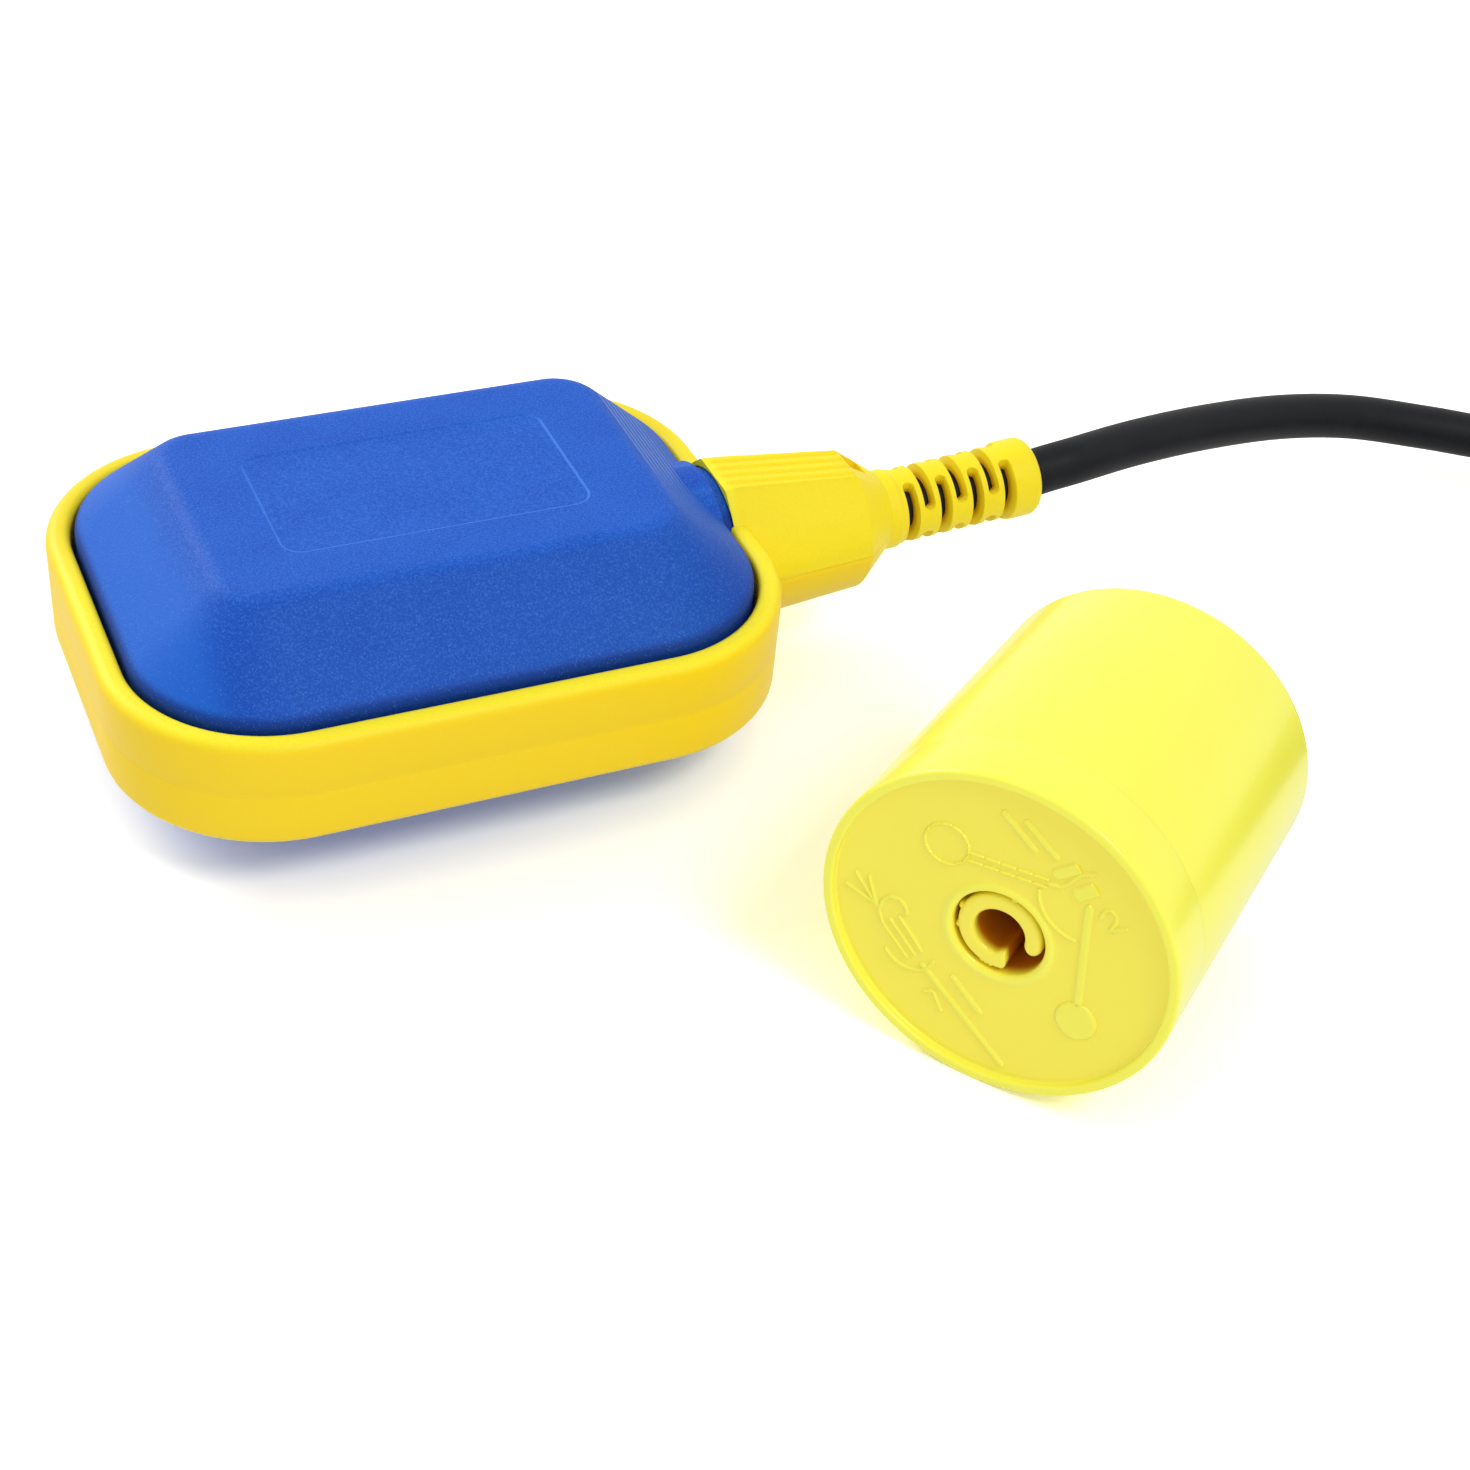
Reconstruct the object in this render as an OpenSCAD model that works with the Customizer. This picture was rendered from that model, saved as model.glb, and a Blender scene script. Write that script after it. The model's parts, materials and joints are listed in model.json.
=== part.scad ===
// Cable float switch with its loose counterweight, in millimetres.
// Origin: middle of the lower shell's flat base. +X runs along the float to its cable, +Z up.

/* [Float] */
// Length of the band round the shells, without the neck
float_l = 105; // [90:1:130]
// Width of the band
float_w = 81; // [68:1:100]
// Height over both plateaus
float_h = 43.2; // [43:0.2:54]
// Plan radius of the band's corners
corner_r = 25; // [18:0.5:30]
// Height of the band
band_h = 18; // [15:0.5:21]
// Thickness of the band's lip, seen from above
lip_t = 3.7; // [3.2:0.1:4.4]
// Rounding of the band's outer edges
lip_round = 2; // [1:0.1:2.5]

/* [Shells] */
// Wall of the two half shells
shell_t = 2.4; // [1.8:0.1:3]
// Length of the flat plateau
plateau_l = 69.6; // [62:0.2:76]
// Width of the flat plateau
plateau_w = 44.4; // [38:0.2:48]
// Corner radius of the plateau
plateau_r = 6; // [4:0.5:9]
// Rounding between the plateau and the slopes
brow_r = 4; // [3:0.5:7]
// Upright wall that shows between the lip and the slopes
step_h = 0.7; // [0.5:0.1:3]
// Open groove between the lip and the shells
groove_w = 0.7; // [0.5:0.1:1]
// How far the shells' flange reaches into the band
flange_w = 1.9; // [1.4:0.1:2.2]
// Height of each shell's half of the flange
flange_h = 2.8; // [2:0.1:4]
// Length of the sunk label panel
label_l = 47.4; // [40:0.5:54]
// Width of the sunk label panel
label_w = 26; // [20:0.5:30]
// Corner radius of the label panel
label_r = 3; // [1.5:0.5:5]
// Depth of the label panel
label_d = 0.3; // [0.2:0.05:0.5]
// Radius of the gland boss, which reaches into the neck
boss_r = 12; // [11.5:0.1:12.4]
// Radius of the round hump that stands on the slope over the gland boss
hump_r = 13.7; // [12.8:0.1:14.2]
// How far the gland boss stands out of the shells' end
boss_out = 2.2; // [1.8:0.1:2.6]

/* [Neck and bend relief] */
// Length of the neck beyond the band
neck_l = 26.5; // [24:0.5:34]
// Half width of the neck where it leaves the band
neck_r = 13.7; // [13.3:0.1:15]
// Half width of the neck before its end cone
neck_end_r = 11.8; // [10:0.1:13]
// Half height of the neck's ridged top at the band
neck_top = 13.05; // [12.9:0.05:13.8]
// Half height of the ridged top before the end cone
neck_end_top = 10.5; // [9.6:0.1:11.4]
// Length of the end cone
neck_cone_l = 6.3; // [5:0.1:8]
// Length of the slotted bend relief
relief_l = 31.3; // [29:0.1:38]
// Radius of the bend relief
relief_r = 6.3; // [6:0.1:7]
// Radius of its end collars
relief_collar_r = 6.7; // [6.4:0.1:7.4]
// Upward set of the bend relief, in degrees
relief_lift = 3.5; // [0:0.5:6]
// Number of slot stations
slot_count = 7; // [5:1:8]
// Distance between slot stations
slot_pitch = 3; // [2.7:0.1:3.2]
// Width of a slot
slot_w = 1.8; // [1.2:0.1:2]
// Half angle of the bridges left beside each slot
bridge_half = 22; // [15:1:30]

/* [Cable] */
// Diameter of the cable's jacket
cable_d = 7.8; // [7:0.1:8]
// Diameter of one insulated core
core_d = 2.3; // [2:0.1:2.4]
// Diameter of a core's stranded copper
copper_d = 1.3; // [1:0.1:1.5]
// Clearance round the jacket in what holds it
jacket_fit = 0.12; // [0.1:0.01:0.2]
// Turns of the stored coil, in two layers
coil_turns = 6; // [4:1:8]
// Outer radius of the coil's path
coil_r = 59; // [56:1:70]
// Gap between neighbouring turns
coil_gap = 0.5; // [0.45:0.05:1]
// Width of a cable tie's band
tie_w = 4.6; // [3:0.1:6]
// Thickness of a cable tie's band
tie_t = 1.1; // [0.9:0.1:1.3]

/* [Switch case] */
// Length of the sealed switch case
case_l = 46; // [44:1:54]
// Width of the switch case
case_w = 30; // [28:1:34]
// Wall of the switch case
case_t = 1.6; // [1.4:0.1:2]
// Middle of the case along the float
case_x = -7; // [-9:1:-5]
// Height of the case without its lid
case_h = 31; // [31:0.2:32]
// Thickness of the lid
lid_t = 2; // [1.6:0.1:2]
// Radius of the steel ball
ball_r = 6; // [5.5:0.1:6.2]
// Travel of the ball along its race
ball_travel = 18; // [12:1:18]
// Ball centre beyond the lever's pivot at rest
ball_start = 6; // [5.5:0.5:7]
// Turn of the lever for each millimetre of ball travel, in radians
lever_gain = 0.005; // [0.004:0.0005:0.005]
// Width of the slot in the race's floor
race_slot = 4.4; // [4.2:0.1:4.8]

/* [Microswitch] */
// Length of the switch body
micro_l = 20; // [19:0.5:21]
// Thickness of the switch body
micro_w = 6.4; // [6.2:0.1:7]
// Height of the switch body
micro_h = 10.2; // [10:0.1:10.4]
// Distance of the plunger from the lever's pivot
plunger_x = 7; // [6.5:0.5:8]
// Radius of the lever's pin
pin_r = 0.5; // [0.4:0.05:0.6]
// Running clearance of pins and sliding pieces
run_fit = 0.05; // [0.03:0.01:0.1]

/* [Counterweight] */
// Radius at the front rim
weight_r = 26; // [23:0.5:30]
// Radius at the rear end
weight_rear_r = 24.9; // [22:0.1:26]
// Length of the counterweight
weight_l = 54.4; // [50:0.2:64]
// Length of the front cap's collar
cap_l = 9.2; // [8:0.1:12]
// Wall of the case and the cap
weight_t = 2.2; // [1.8:0.1:3]
// Depth of the face below the front rim
face_z = 1.2; // [0.8:0.1:2.5]
// Width of the front rim
rim_t = 1.6; // [1.2:0.1:2.5]
// Radius of the cable bore
bore_r = 5; // [4.6:0.1:5.4]
// Radius of the clip's socket
socket_r = 6.7; // [6.6:0.1:7.2]
// Outer radius of the C shaped clip
clip_r = 6.15; // [6:0.05:6.3]
// Inner radius of the clip
clip_in_r = 3.8; // [3.5:0.1:4]
// Length of the clip
clip_l = 9; // [7:0.5:10]
// Half angle of the clip's opening
clip_gap = 33; // [25:1:40]
// Height of the raised marks on the face
mark_h = 0.35; // [0.2:0.05:0.5]
// Width of the raised lines
mark_w = 0.7; // [0.5:0.05:1]

/* [Hidden] */
$fn = 48;

blue = "royalblue";
yellow = "gold";
lemon = "khaki";
black = "dimgray";
tiny = 0.1;              // thickness of a slab in a hull
fit = 0.15;              // clearance between pieces that are assembled face to face

mid_z = float_h / 2;
cable_r = cable_d / 2;

// shells, measured from the parting plane
shell_l = float_l - 2 * (lip_t + groove_w);
shell_w = float_w - 2 * (lip_t + groove_w);
shell_r = corner_r - lip_t - groove_w;
shoulder_h = band_h / 2 + step_h;
slope_run = (shell_l - plateau_l) / 2;
slope = atan((mid_z - shoulder_h) / slope_run);
brow_steps = 3;
seal_w = 1.5;            // section of the shells' seal
seal_h = 1.6;
seal_in = 0.1;           // outer side of the seal inside the shells' outline
post = 3;                // side of the square posts that hold the switch case
post_x = case_l / 2 - 9;
post_y = case_w / 2 - 5;

// gland, along X
gland_end = shell_l / 2 + boss_out;
gland_l = 10;
gland_in = gland_end - gland_l;
hump_in = shell_l / 2 - 8;
gland_wall = 1.2;
gland_r = 9;
clamp_l = 5;
clamp_x = gland_in - clamp_l - 1;
clamp_half = 11.5;
clamp_h = 6.2;
clamp_screw_y = 8;
clamp_screw_r = 1.2;
jacket_end = clamp_x - 1;

// neck
neck_x0 = float_l / 2 - 1.9;
neck_x2 = float_l / 2 + neck_l;
neck_x1 = neck_x2 - neck_cone_l;
flat_half = 4.95;        // half width of the ridged top at the band
flat_end_half = 4.3;
hip_h = 2.5;             // the neck's widest line above the parting plane
ridge_gap = 2.1;         // distance between grooves on the ridged top
first_slot = 5.5;

// switch case, from its floor up
case_z = mid_z - 16.4;
race_lift = ball_r - sqrt(pow(ball_r, 2) - pow(race_slot / 2, 2));
ball_end = ball_start + ball_travel;
lever_drop = lever_gain * pow(ball_start + ball_travel / 2, 2) + 0.07;
lever_rest = lever_gain * ball_end * 180 / PI;
lever_t = 0.5;
lever_w = 3.2;
lever_l = ball_end + 2;
eye_r = 1.1;
eye_w = lever_w - 0.96;
pivot_x = case_x - 17;
pivot_z = mid_z + 0.8;
ball_z = pivot_z + lever_drop + ball_r;
race_z = ball_z - ball_r + race_lift - run_fit;
race_floor = 1.2;
race_wall = 1.2;
race_in_w = 2 * ball_r + 0.8;
race_side_h = 8;
race_x0 = pivot_x + ball_start - ball_r - 0.3;
race_x1 = pivot_x + ball_end + ball_r + 0.3;
ledge = 1.5;
lid_screw_x = case_l / 2 - 3.6;
lid_screw_y = case_w / 2 - 3.6;
lid_screw_r = 1.1;
lid_post_r = 2.6;

// microswitch, from the lever's pivot
micro_x0 = -2;
micro_top = -1.2;
micro_wall = 1;
blade_x = 1.6;
blade_l = 13.5;
blade_t = 0.4;
blade_z = micro_top - 4.6;
blade_gain = lever_gain * plunger_x / (plunger_x - blade_x);
blade_half = blade_gain * ball_travel / 2 * 180 / PI;
blade_tip = blade_l * sin(blade_half);
plunger_r = 1;
rivets = [[5.1, micro_top - micro_h + 1.9], [11.5, micro_top - 1.9]];
terminal_x = [blade_x, 8.6, blade_x + blade_l];
terminal_w = 2.6;
terminal_t = 0.5;
terminal_out = 3.6;
crimp_r = 1.42;
crimp_l = 4.6;
crimp_y = terminal_t / 2 + crimp_r + 0.02;
crimp_z = pivot_z + micro_top - micro_h - 1.9;
crimp_x = [for (x = terminal_x) pivot_x + x];

// cores inside the float: straight out of the jacket, down to the seal, then to their terminals
core_z = crimp_z;
core_in_y = 5;           // spacing of the outer cores where they enter the switch case
core_in_z = 12;
core_in_x = case_x + case_l / 2;
function core_start(y, z) = [for (k = [0, 1.2, 2.4]) [jacket_end - k, y, mid_z + z]];
function core_wall(y) = [[core_in_x + 4, y, core_in_z + 0.6], [core_in_x + 1.5, y, core_in_z],
    [core_in_x - 4, y, core_in_z]];
brown_path = concat(core_start(-1.6, -1.15), [[jacket_end - 6.4, -3.8, mid_z - 4.4]],
    core_wall(-core_in_y), [[crimp_x[2] + 9, -5.2, core_z + 0.8], [crimp_x[2], -5.4, core_z],
    [crimp_x[0] + 9, -4.8, core_z], [crimp_x[0] + 4.6, -crimp_y, core_z],
    [crimp_x[0] + 2.8, -crimp_y, core_z], [crimp_x[0], -crimp_y, core_z]]);
black_path = concat(core_start(1.6, -1.15), [[jacket_end - 6.4, 3.8, mid_z - 4.4]],
    core_wall(core_in_y), [[crimp_x[2] + 5, 4, core_z + 0.6], [crimp_x[2], 2.9, core_z],
    [crimp_x[1] + 4.6, crimp_y, core_z], [crimp_x[1] + 2.8, crimp_y, core_z],
    [crimp_x[1], crimp_y, core_z]]);
blue_path = concat(core_start(0, 2), [[jacket_end - 6.4, 0, mid_z - 2.6]],
    core_wall(0), [[crimp_x[2] + 7.5, -0.8, core_z + 0.7], [crimp_x[2] + 4.4, -crimp_y, core_z],
    [crimp_x[2] + 2.8, -crimp_y, core_z], [crimp_x[2], -crimp_y, core_z]]);

// free cable, from the end of the bend relief to the coil
relief_end = [neck_x2 + relief_l * cos(relief_lift), 0, mid_z + relief_l * sin(relief_lift)];
relief_dir = [cos(relief_lift), 0, sin(relief_lift)];
run_path = [relief_end, relief_end + 3 * relief_dir, relief_end + 8 * relief_dir, [132, 2.8, 23.8], [149, 6, 22], [167, 8.1, 19.7], [183, 7.4, 17.4], [198, 2.9, 15.3],
    [212, -3.6, 14.1]];
tie_gap = 0.3;
coil_pitch = cable_d + coil_gap;
coil_c = [232, -81.5];
coil_in = 61.5;          // bearing of the coil's first point, in degrees
coil_lift = tie_t + tie_gap; // the coil rests on its ties
coil_z = coil_lift + cable_r;
coil_rings = 24;
turn_back = coil_turns / 2;
tail_l = 12;             // straight end of the jacket
core_tail = 42;          // length of the bare cores
strip_l = 7;             // stripped length of each core
fan = 9;                 // angle between the cores' ends

// counterweight
weight_at = [46.6, -102];
weight_turn = 36.3;
weight_tilt = atan((weight_r - weight_rear_r) / weight_l);
seam = 0.25;
spigot_l = 4;
socket_l = 12;
socket_wall = 1.5;
ballast_l = 18.5;
clip_turn = -38;
clip_mid_r = (clip_r + clip_in_r) / 2;
clip_half_t = (clip_r - clip_in_r) / 2;
clip_edge = 0.6;

// ---------- functions ----------

// outer radius of the counterweight at a distance from its front rim
function weight_rad(z) = weight_r - (weight_r - weight_rear_r) * z / weight_l;
function unit(v) = v / norm(v);
// direction of a path at point i
function heading(p, i) = unit(p[min(i + 1, len(p) - 1)] - p[max(i - 1, 0)]);
// corners of the ring of n points and radius r round point i, the first one straight down
function ring(p, i, r, n) =
    let (t = heading(p, i), side = unit(cross([0, 0, 1], t)), up = cross(t, side))
    [for (k = [0:n - 1]) p[i] + r * (sin(360 * k / n) * side - cos(360 * k / n) * up)];
// Catmull-Rom point between p[i] and p[i + 1]
function spline(p, i, u) =
    let (a = p[max(i - 1, 0)], b = p[i], c = p[i + 1], d = p[min(i + 2, len(p) - 1)])
    0.5 * (2 * b + (c - a) * u + (2 * a - 5 * b + 4 * c - d) * pow(u, 2)
        + (3 * b - a - 3 * c + d) * pow(u, 3));
function smooth(p, m) = [for (i = [0:len(p) - 2], k = [0:m - 1]) spline(p, i, k / m),
    p[len(p) - 1]];
function path_l(p) = len(p) < 2 ? 0 : [for (i = [1:len(p) - 1]) norm(p[i] - p[i - 1])]
    * [for (i = [1:len(p) - 1]) 1];
// point of the coil after t turns: the radius falls to the turning point and grows again
function coil_point(t) =
    let (a = coil_in - 360 * t, r = coil_r - coil_pitch * (turn_back - abs(t - turn_back)),
        drop = min(max((t - turn_back) * 2 + 0.5, 0), 1))
    [coil_c[0] + r * cos(a), coil_c[1] + r * sin(a), coil_z + coil_pitch * (1 - drop)];
coil_start = coil_point(0);
coil_in_dir = unit(coil_point(0.01) - coil_start);
coil_end = coil_point(coil_turns);
coil_out_dir = unit(coil_end - coil_point(coil_turns - 0.01));
coil_loops = [for (k = [0:coil_turns * coil_rings]) coil_point(k / coil_rings)];
coil_path = concat([coil_start - cable_d * coil_in_dir], coil_loops,
    [coil_end + tail_l * [coil_out_dir[0], coil_out_dir[1], 0]]);
run_points = smooth(concat(run_path,
    [for (k = [4, 3, 2, 1]) coil_start - k * cable_d * coil_in_dir]), 2);
echo(tail_end_mm = tail_points(0)[5] + strip_l * tail_dir(0));
tail_at = coil_path[len(coil_path) - 1];

// least gap of the coil to itself, from its points at least half a turn apart
coil_n = len(coil_loops);
coil_least = min([for (i = [0:coil_n - 1], j = [i + coil_rings / 2:coil_n - 1])
    if (j < coil_n) norm(coil_loops[i] - coil_loops[j])]) - cable_d;
echo(coil_least_gap_mm = coil_least);
echo(free_cable_mm = path_l(run_points) + path_l(coil_path) + core_tail);

// ---------- shared shapes ----------

module rrect(l, w, r) {
    square([l - 2 * r, w], center = true);
    square([l, w - 2 * r], center = true);
    for (x = [-1, 1], y = [-1, 1])
        translate([x * (l / 2 - r), y * (w / 2 - r)]) circle(r);
}

// a tube along a path, of n sides, closed at both ends
module tube(p, r, n) {
    m = len(p);
    rings = [for (i = [0:m - 1]) each ring(p, i, r, n)];
    sides = [for (i = [0:m - 2], k = [0:n - 1])
        each [[i * n + k, (i + 1) * n + k, (i + 1) * n + (k + 1) % n],
            [i * n + k, (i + 1) * n + (k + 1) % n, i * n + (k + 1) % n]]];
    first = [for (k = [1:n - 2]) [0, k, k + 1]];
    last = [for (k = [1:n - 2]) [(m - 1) * n, (m - 1) * n + k + 1, (m - 1) * n + k]];
    polyhedron(rings, concat(sides, first, last));
}

module along_x(x0, x1, r) {
    translate([x0, 0, 0]) rotate([0, 90, 0]) cylinder(h = x1 - x0, r = r);
}

// x to y, y to z, extruded along +X
module slice_x(x, t) {
    translate([x, 0, 0]) rotate([90, 0, 90]) linear_extrude(t) children();
}

module screw(shaft_r, shaft_l, head_r, head_h) {
    translate([0, 0, -shaft_l]) cylinder(h = shaft_l + tiny, r = shaft_r);
    difference() {
        cylinder(h = head_h, r = head_r);
        for (a = [0, 90])
            rotate([0, 0, a]) translate([-head_r * 0.65, -0.3, head_h * 0.5])
                cube([head_r * 1.3, 0.6, head_h]);
    }
}

// ---------- shells ----------

// one half shell above the parting plane, solid, drawn in by inset on every face
module shell_solid(inset) {
    foot = shoulder_h - inset * tan((90 - slope) / 2);
    brow = inset * tan(slope / 2) + brow_r * tan(slope / 2);
    linear_extrude(foot) rrect(shell_l - 2 * inset, shell_w - 2 * inset, shell_r - inset);
    hull() {
        translate([0, 0, foot - tiny]) linear_extrude(tiny)
            rrect(shell_l - 2 * inset, shell_w - 2 * inset, shell_r - inset);
        for (k = [0:brow_steps]) {
            a = slope * k / brow_steps;
            grow = brow_r * sin(a) - brow;
            translate([0, 0, mid_z - inset - brow_r * (1 - cos(a)) - tiny]) linear_extrude(tiny)
                rrect(plateau_l + 2 * grow, plateau_w + 2 * grow, plateau_r + grow);
        }
    }
}

module gland_boss() {
    intersection() {
        along_x(gland_in, gland_end, boss_r);
        translate([gland_in, -boss_r, 0]) cube([gland_l, 2 * boss_r, boss_r]);
    }
}

// round hump over the boss; it ends inside the lip
module hump() {
    intersection() {
        along_x(hump_in, shell_l / 2 - 0.4, hump_r);
        translate([hump_in, -hump_r, 0]) cube([shell_l, 2 * hump_r, hump_r]);
    }
}

module seal_ring(grow) {
    linear_extrude(seal_h / 2 + grow) difference() {
        rrect(shell_l - 2 * seal_in + 2 * grow, shell_w - 2 * seal_in + 2 * grow,
            shell_r - seal_in + grow);
        rrect(shell_l - 2 * (seal_in + seal_w) - 2 * grow,
            shell_w - 2 * (seal_in + seal_w) - 2 * grow, shell_r - seal_in - seal_w - grow);
        translate([shell_l / 2 - 5, -gland_r - 0.6]) square([10, 2 * (gland_r + 0.6)]);
    }
}

module half_shell() {
    difference() {
        union() {
            shell_solid(0);
            linear_extrude(flange_h) difference() {
                rrect(shell_l + 2 * flange_w, shell_w + 2 * flange_w, shell_r + flange_w);
                translate([shell_l / 2 - 1, -boss_r - 1])
                    square([flange_w + 2, 2 * boss_r + 2]);
            }
            gland_boss();
            hump();
        }
        difference() {
            translate([0, 0, -tiny]) shell_solid(shell_t);
            gland_boss();
        }
        along_x(gland_in + gland_wall, gland_end + 1, gland_r);
        along_x(gland_in - 1, gland_end, cable_r + jacket_fit);
        translate([0, 0, -tiny]) seal_ring(tiny);
    }
}

module case_posts(top, bottom) {
    for (x = [-1, 1], y = [-1, 1])
        translate([case_x + x * post_x - post / 2, y * post_y - post / 2, bottom])
            cube([post, post, top - bottom]);
}

module upper_shell() {
    color(blue) difference() {
        translate([0, 0, mid_z]) half_shell();
        translate([0, 0, float_h - label_d]) linear_extrude(1) rrect(label_l, label_w, label_r);
    }
    color(blue) case_posts(float_h - shell_t, case_z + case_h + lid_t + fit);
}

// the lower half, whose base is a true flat, with the cradle that takes the cable clamp
module lower_shell() {
    color(blue) translate([0, 0, mid_z]) mirror([0, 0, 1]) half_shell();
    color(blue) case_posts(case_z - fit, shell_t);
    color(blue) difference() {
        translate([clamp_x, -clamp_half, shell_t])
            cube([clamp_l, 2 * clamp_half, mid_z - shell_t - fit / 2]);
        translate([0, 0, mid_z]) along_x(clamp_x - 1, clamp_x + clamp_l + 1, cable_r + jacket_fit);
        for (y = [-1, 1])
            translate([clamp_x + clamp_l / 2, y * clamp_screw_y, mid_z - 8])
                cylinder(h = 9, r = clamp_screw_r + run_fit);
    }
}

module shell_seal() {
    color(black) translate([0, 0, mid_z]) {
        seal_ring(0);
        mirror([0, 0, 1]) seal_ring(0);
    }
}

// ---------- band, neck and bend relief ----------

// section of the band, x outwards from the corner's centre, y from the parting plane
module band_section() {
    half = band_h / 2;
    difference() {
        union() {
            translate([corner_r - lip_t, -half]) square([lip_t - lip_round, band_h]);
            translate([corner_r - lip_t, lip_round - half])
                square([lip_t, band_h - 2 * lip_round]);
            for (s = [-1, 1])
                translate([corner_r - lip_round, s * (half - lip_round)]) circle(lip_round);
        }
        translate([corner_r - lip_t - 1, -flange_h - fit])
            square([1 + groove_w + flange_w + fit, 2 * (flange_h + fit)]);
    }
}

module band_ring() {
    run_l = float_l - 2 * corner_r;
    run_w = float_w - 2 * corner_r;
    for (a = [0, 180])
        rotate([0, 0, a]) {
            translate([run_l / 2, run_w / 2, 0]) rotate_extrude(angle = 90) band_section();
            translate([-run_l / 2, run_w / 2, 0])
                rotate([0, 0, 90]) rotate_extrude(angle = 90) band_section();
            translate([-run_l / 2, run_w / 2, 0]) slice_x(0, run_l) band_section();
            translate([run_l / 2, -run_w / 2, 0]) rotate([90, 0, 0]) mirror([0, 0, 1])
                linear_extrude(run_w) band_section();
        }
}

// section of the neck: round below, hipped to a flat top above
module neck_section(r, top, half_flat) {
    intersection() {
        circle(r);
        translate([-r, -r]) square([2 * r, r]);
    }
    polygon([[-r, -0.01], [r, -0.01], [r - 0.1, hip_h], [half_flat, top], [-half_flat, top],
        [0.1 - r, hip_h]]);
}

module neck_solid() {
    hull() {
        slice_x(neck_x0, tiny) neck_section(neck_r, neck_top, flat_half);
        slice_x(neck_x1, tiny) neck_section(neck_end_r, neck_end_top, flat_end_half);
    }
    hull() {
        slice_x(neck_x1, tiny) neck_section(neck_end_r, neck_end_top, flat_end_half);
        slice_x(neck_x2 + 0.4, tiny) circle(relief_collar_r + 0.1);
    }
}

// grooves between the ridges, parallel to the sloping top
module ridge_grooves() {
    fall = atan((neck_top - neck_end_top) / (neck_x1 - neck_x0));
    for (k = [-1.5:1:1.5])
        translate([neck_x0, k * ridge_gap, neck_top + 0.45]) rotate([0, 90 + fall, 0])
            translate([0, 0, 3.4]) cylinder(h = neck_x1 - neck_x0 - 4, r = 0.9);
    translate([neck_x1 + 2, 0, neck_end_top + 0.2]) rotate([90, 0, 0])
        cylinder(h = 2.6 * flat_end_half / 2, r = 1.5, center = true);
}

module band() {
    color(yellow) translate([0, 0, mid_z]) difference() {
        union() {
            band_ring();
            neck_solid();
        }
        ridge_grooves();
        along_x(shell_l / 2 - 3, gland_end + fit, boss_r + groove_w);
        along_x(gland_end, neck_x2 + 5, cable_r + jacket_fit);
        translate([neck_x2, 0, 0]) rotate([0, -relief_lift, 0])
            translate([0, -20, -20]) cube([20, 40, 40]);
    }
}

// all of a ring but the two bridges, which lie along y in this plane
module slot_cut() {
    far = 12;
    difference() {
        circle(relief_collar_r + 2);
        for (s = [-1, 1])
            polygon([[0, 0], [far * tan(bridge_half), s * far], [-far * tan(bridge_half), s * far]]);
    }
}

module bend_relief() {
    edge = 1.5;
    color(yellow) translate([neck_x2, 0, mid_z]) rotate([0, 90 - relief_lift, 0]) difference() {
        rotate_extrude() difference() {
            union() {
                square([relief_collar_r, 3.6]);
                square([relief_r, relief_l]);
                translate([0, relief_l - 6]) square([relief_collar_r - edge, 6]);
                translate([0, relief_l - 6]) square([relief_collar_r, 6 - edge]);
                translate([relief_collar_r - edge, relief_l - edge]) circle(edge);
            }
            translate([-20, -1]) square([20 + cable_r + jacket_fit, relief_l + 2]);
        }
        for (k = [0:slot_count - 1])
            translate([0, 0, first_slot + k * slot_pitch - slot_w / 2])
                rotate([0, 0, k % 2 == 0 ? 90 : 0]) linear_extrude(slot_w) slot_cut();
    }
}

// ---------- cable and gland ----------

// the jacket that the gland, the neck and the bend relief hold
module cable_lead() {
    color(black) tube(concat([[jacket_end, 0, mid_z], [neck_x2 - 8, 0, mid_z],
        [neck_x2 - 3, 0, mid_z], [neck_x2 + 3, 0, mid_z + 3 * sin(relief_lift)]],
        [[neck_x2, 0, mid_z] + 8 * [cos(relief_lift), 0, sin(relief_lift)], relief_end]),
        cable_r, 16);
}

module cable_seal() {
    color(black) translate([0, 0, mid_z]) difference() {
        along_x(gland_in + gland_wall + fit, gland_end - fit, gland_r - fit);
        along_x(gland_in, gland_end + 1, cable_r + run_fit);
    }
}

module cable_clamp() {
    color("silver") difference() {
        translate([clamp_x, -clamp_half, mid_z + fit / 2]) cube([clamp_l, 2 * clamp_half, clamp_h]);
        translate([0, 0, mid_z]) along_x(clamp_x - 1, clamp_x + clamp_l + 1, cable_r + jacket_fit);
        for (y = [-1, 1])
            translate([clamp_x + clamp_l / 2, y * clamp_screw_y, mid_z])
                cylinder(h = 9, r = clamp_screw_r + fit);
    }
}

module clamp_screws() {
    color("silver") for (y = [-1, 1])
        translate([clamp_x + clamp_l / 2, y * clamp_screw_y, mid_z + clamp_h + fit / 2])
            screw(clamp_screw_r, clamp_h + 7, 2.2, 1.4);
}

// ---------- switch case ----------

module case_blank(h) {
    linear_extrude(h) rrect(case_l, case_w, 3);
}

module lid_screw_places() {
    for (x = [-1, 1], y = [-1, 1])
        translate([x * lid_screw_x, y * lid_screw_y, 0]) children();
}

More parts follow.
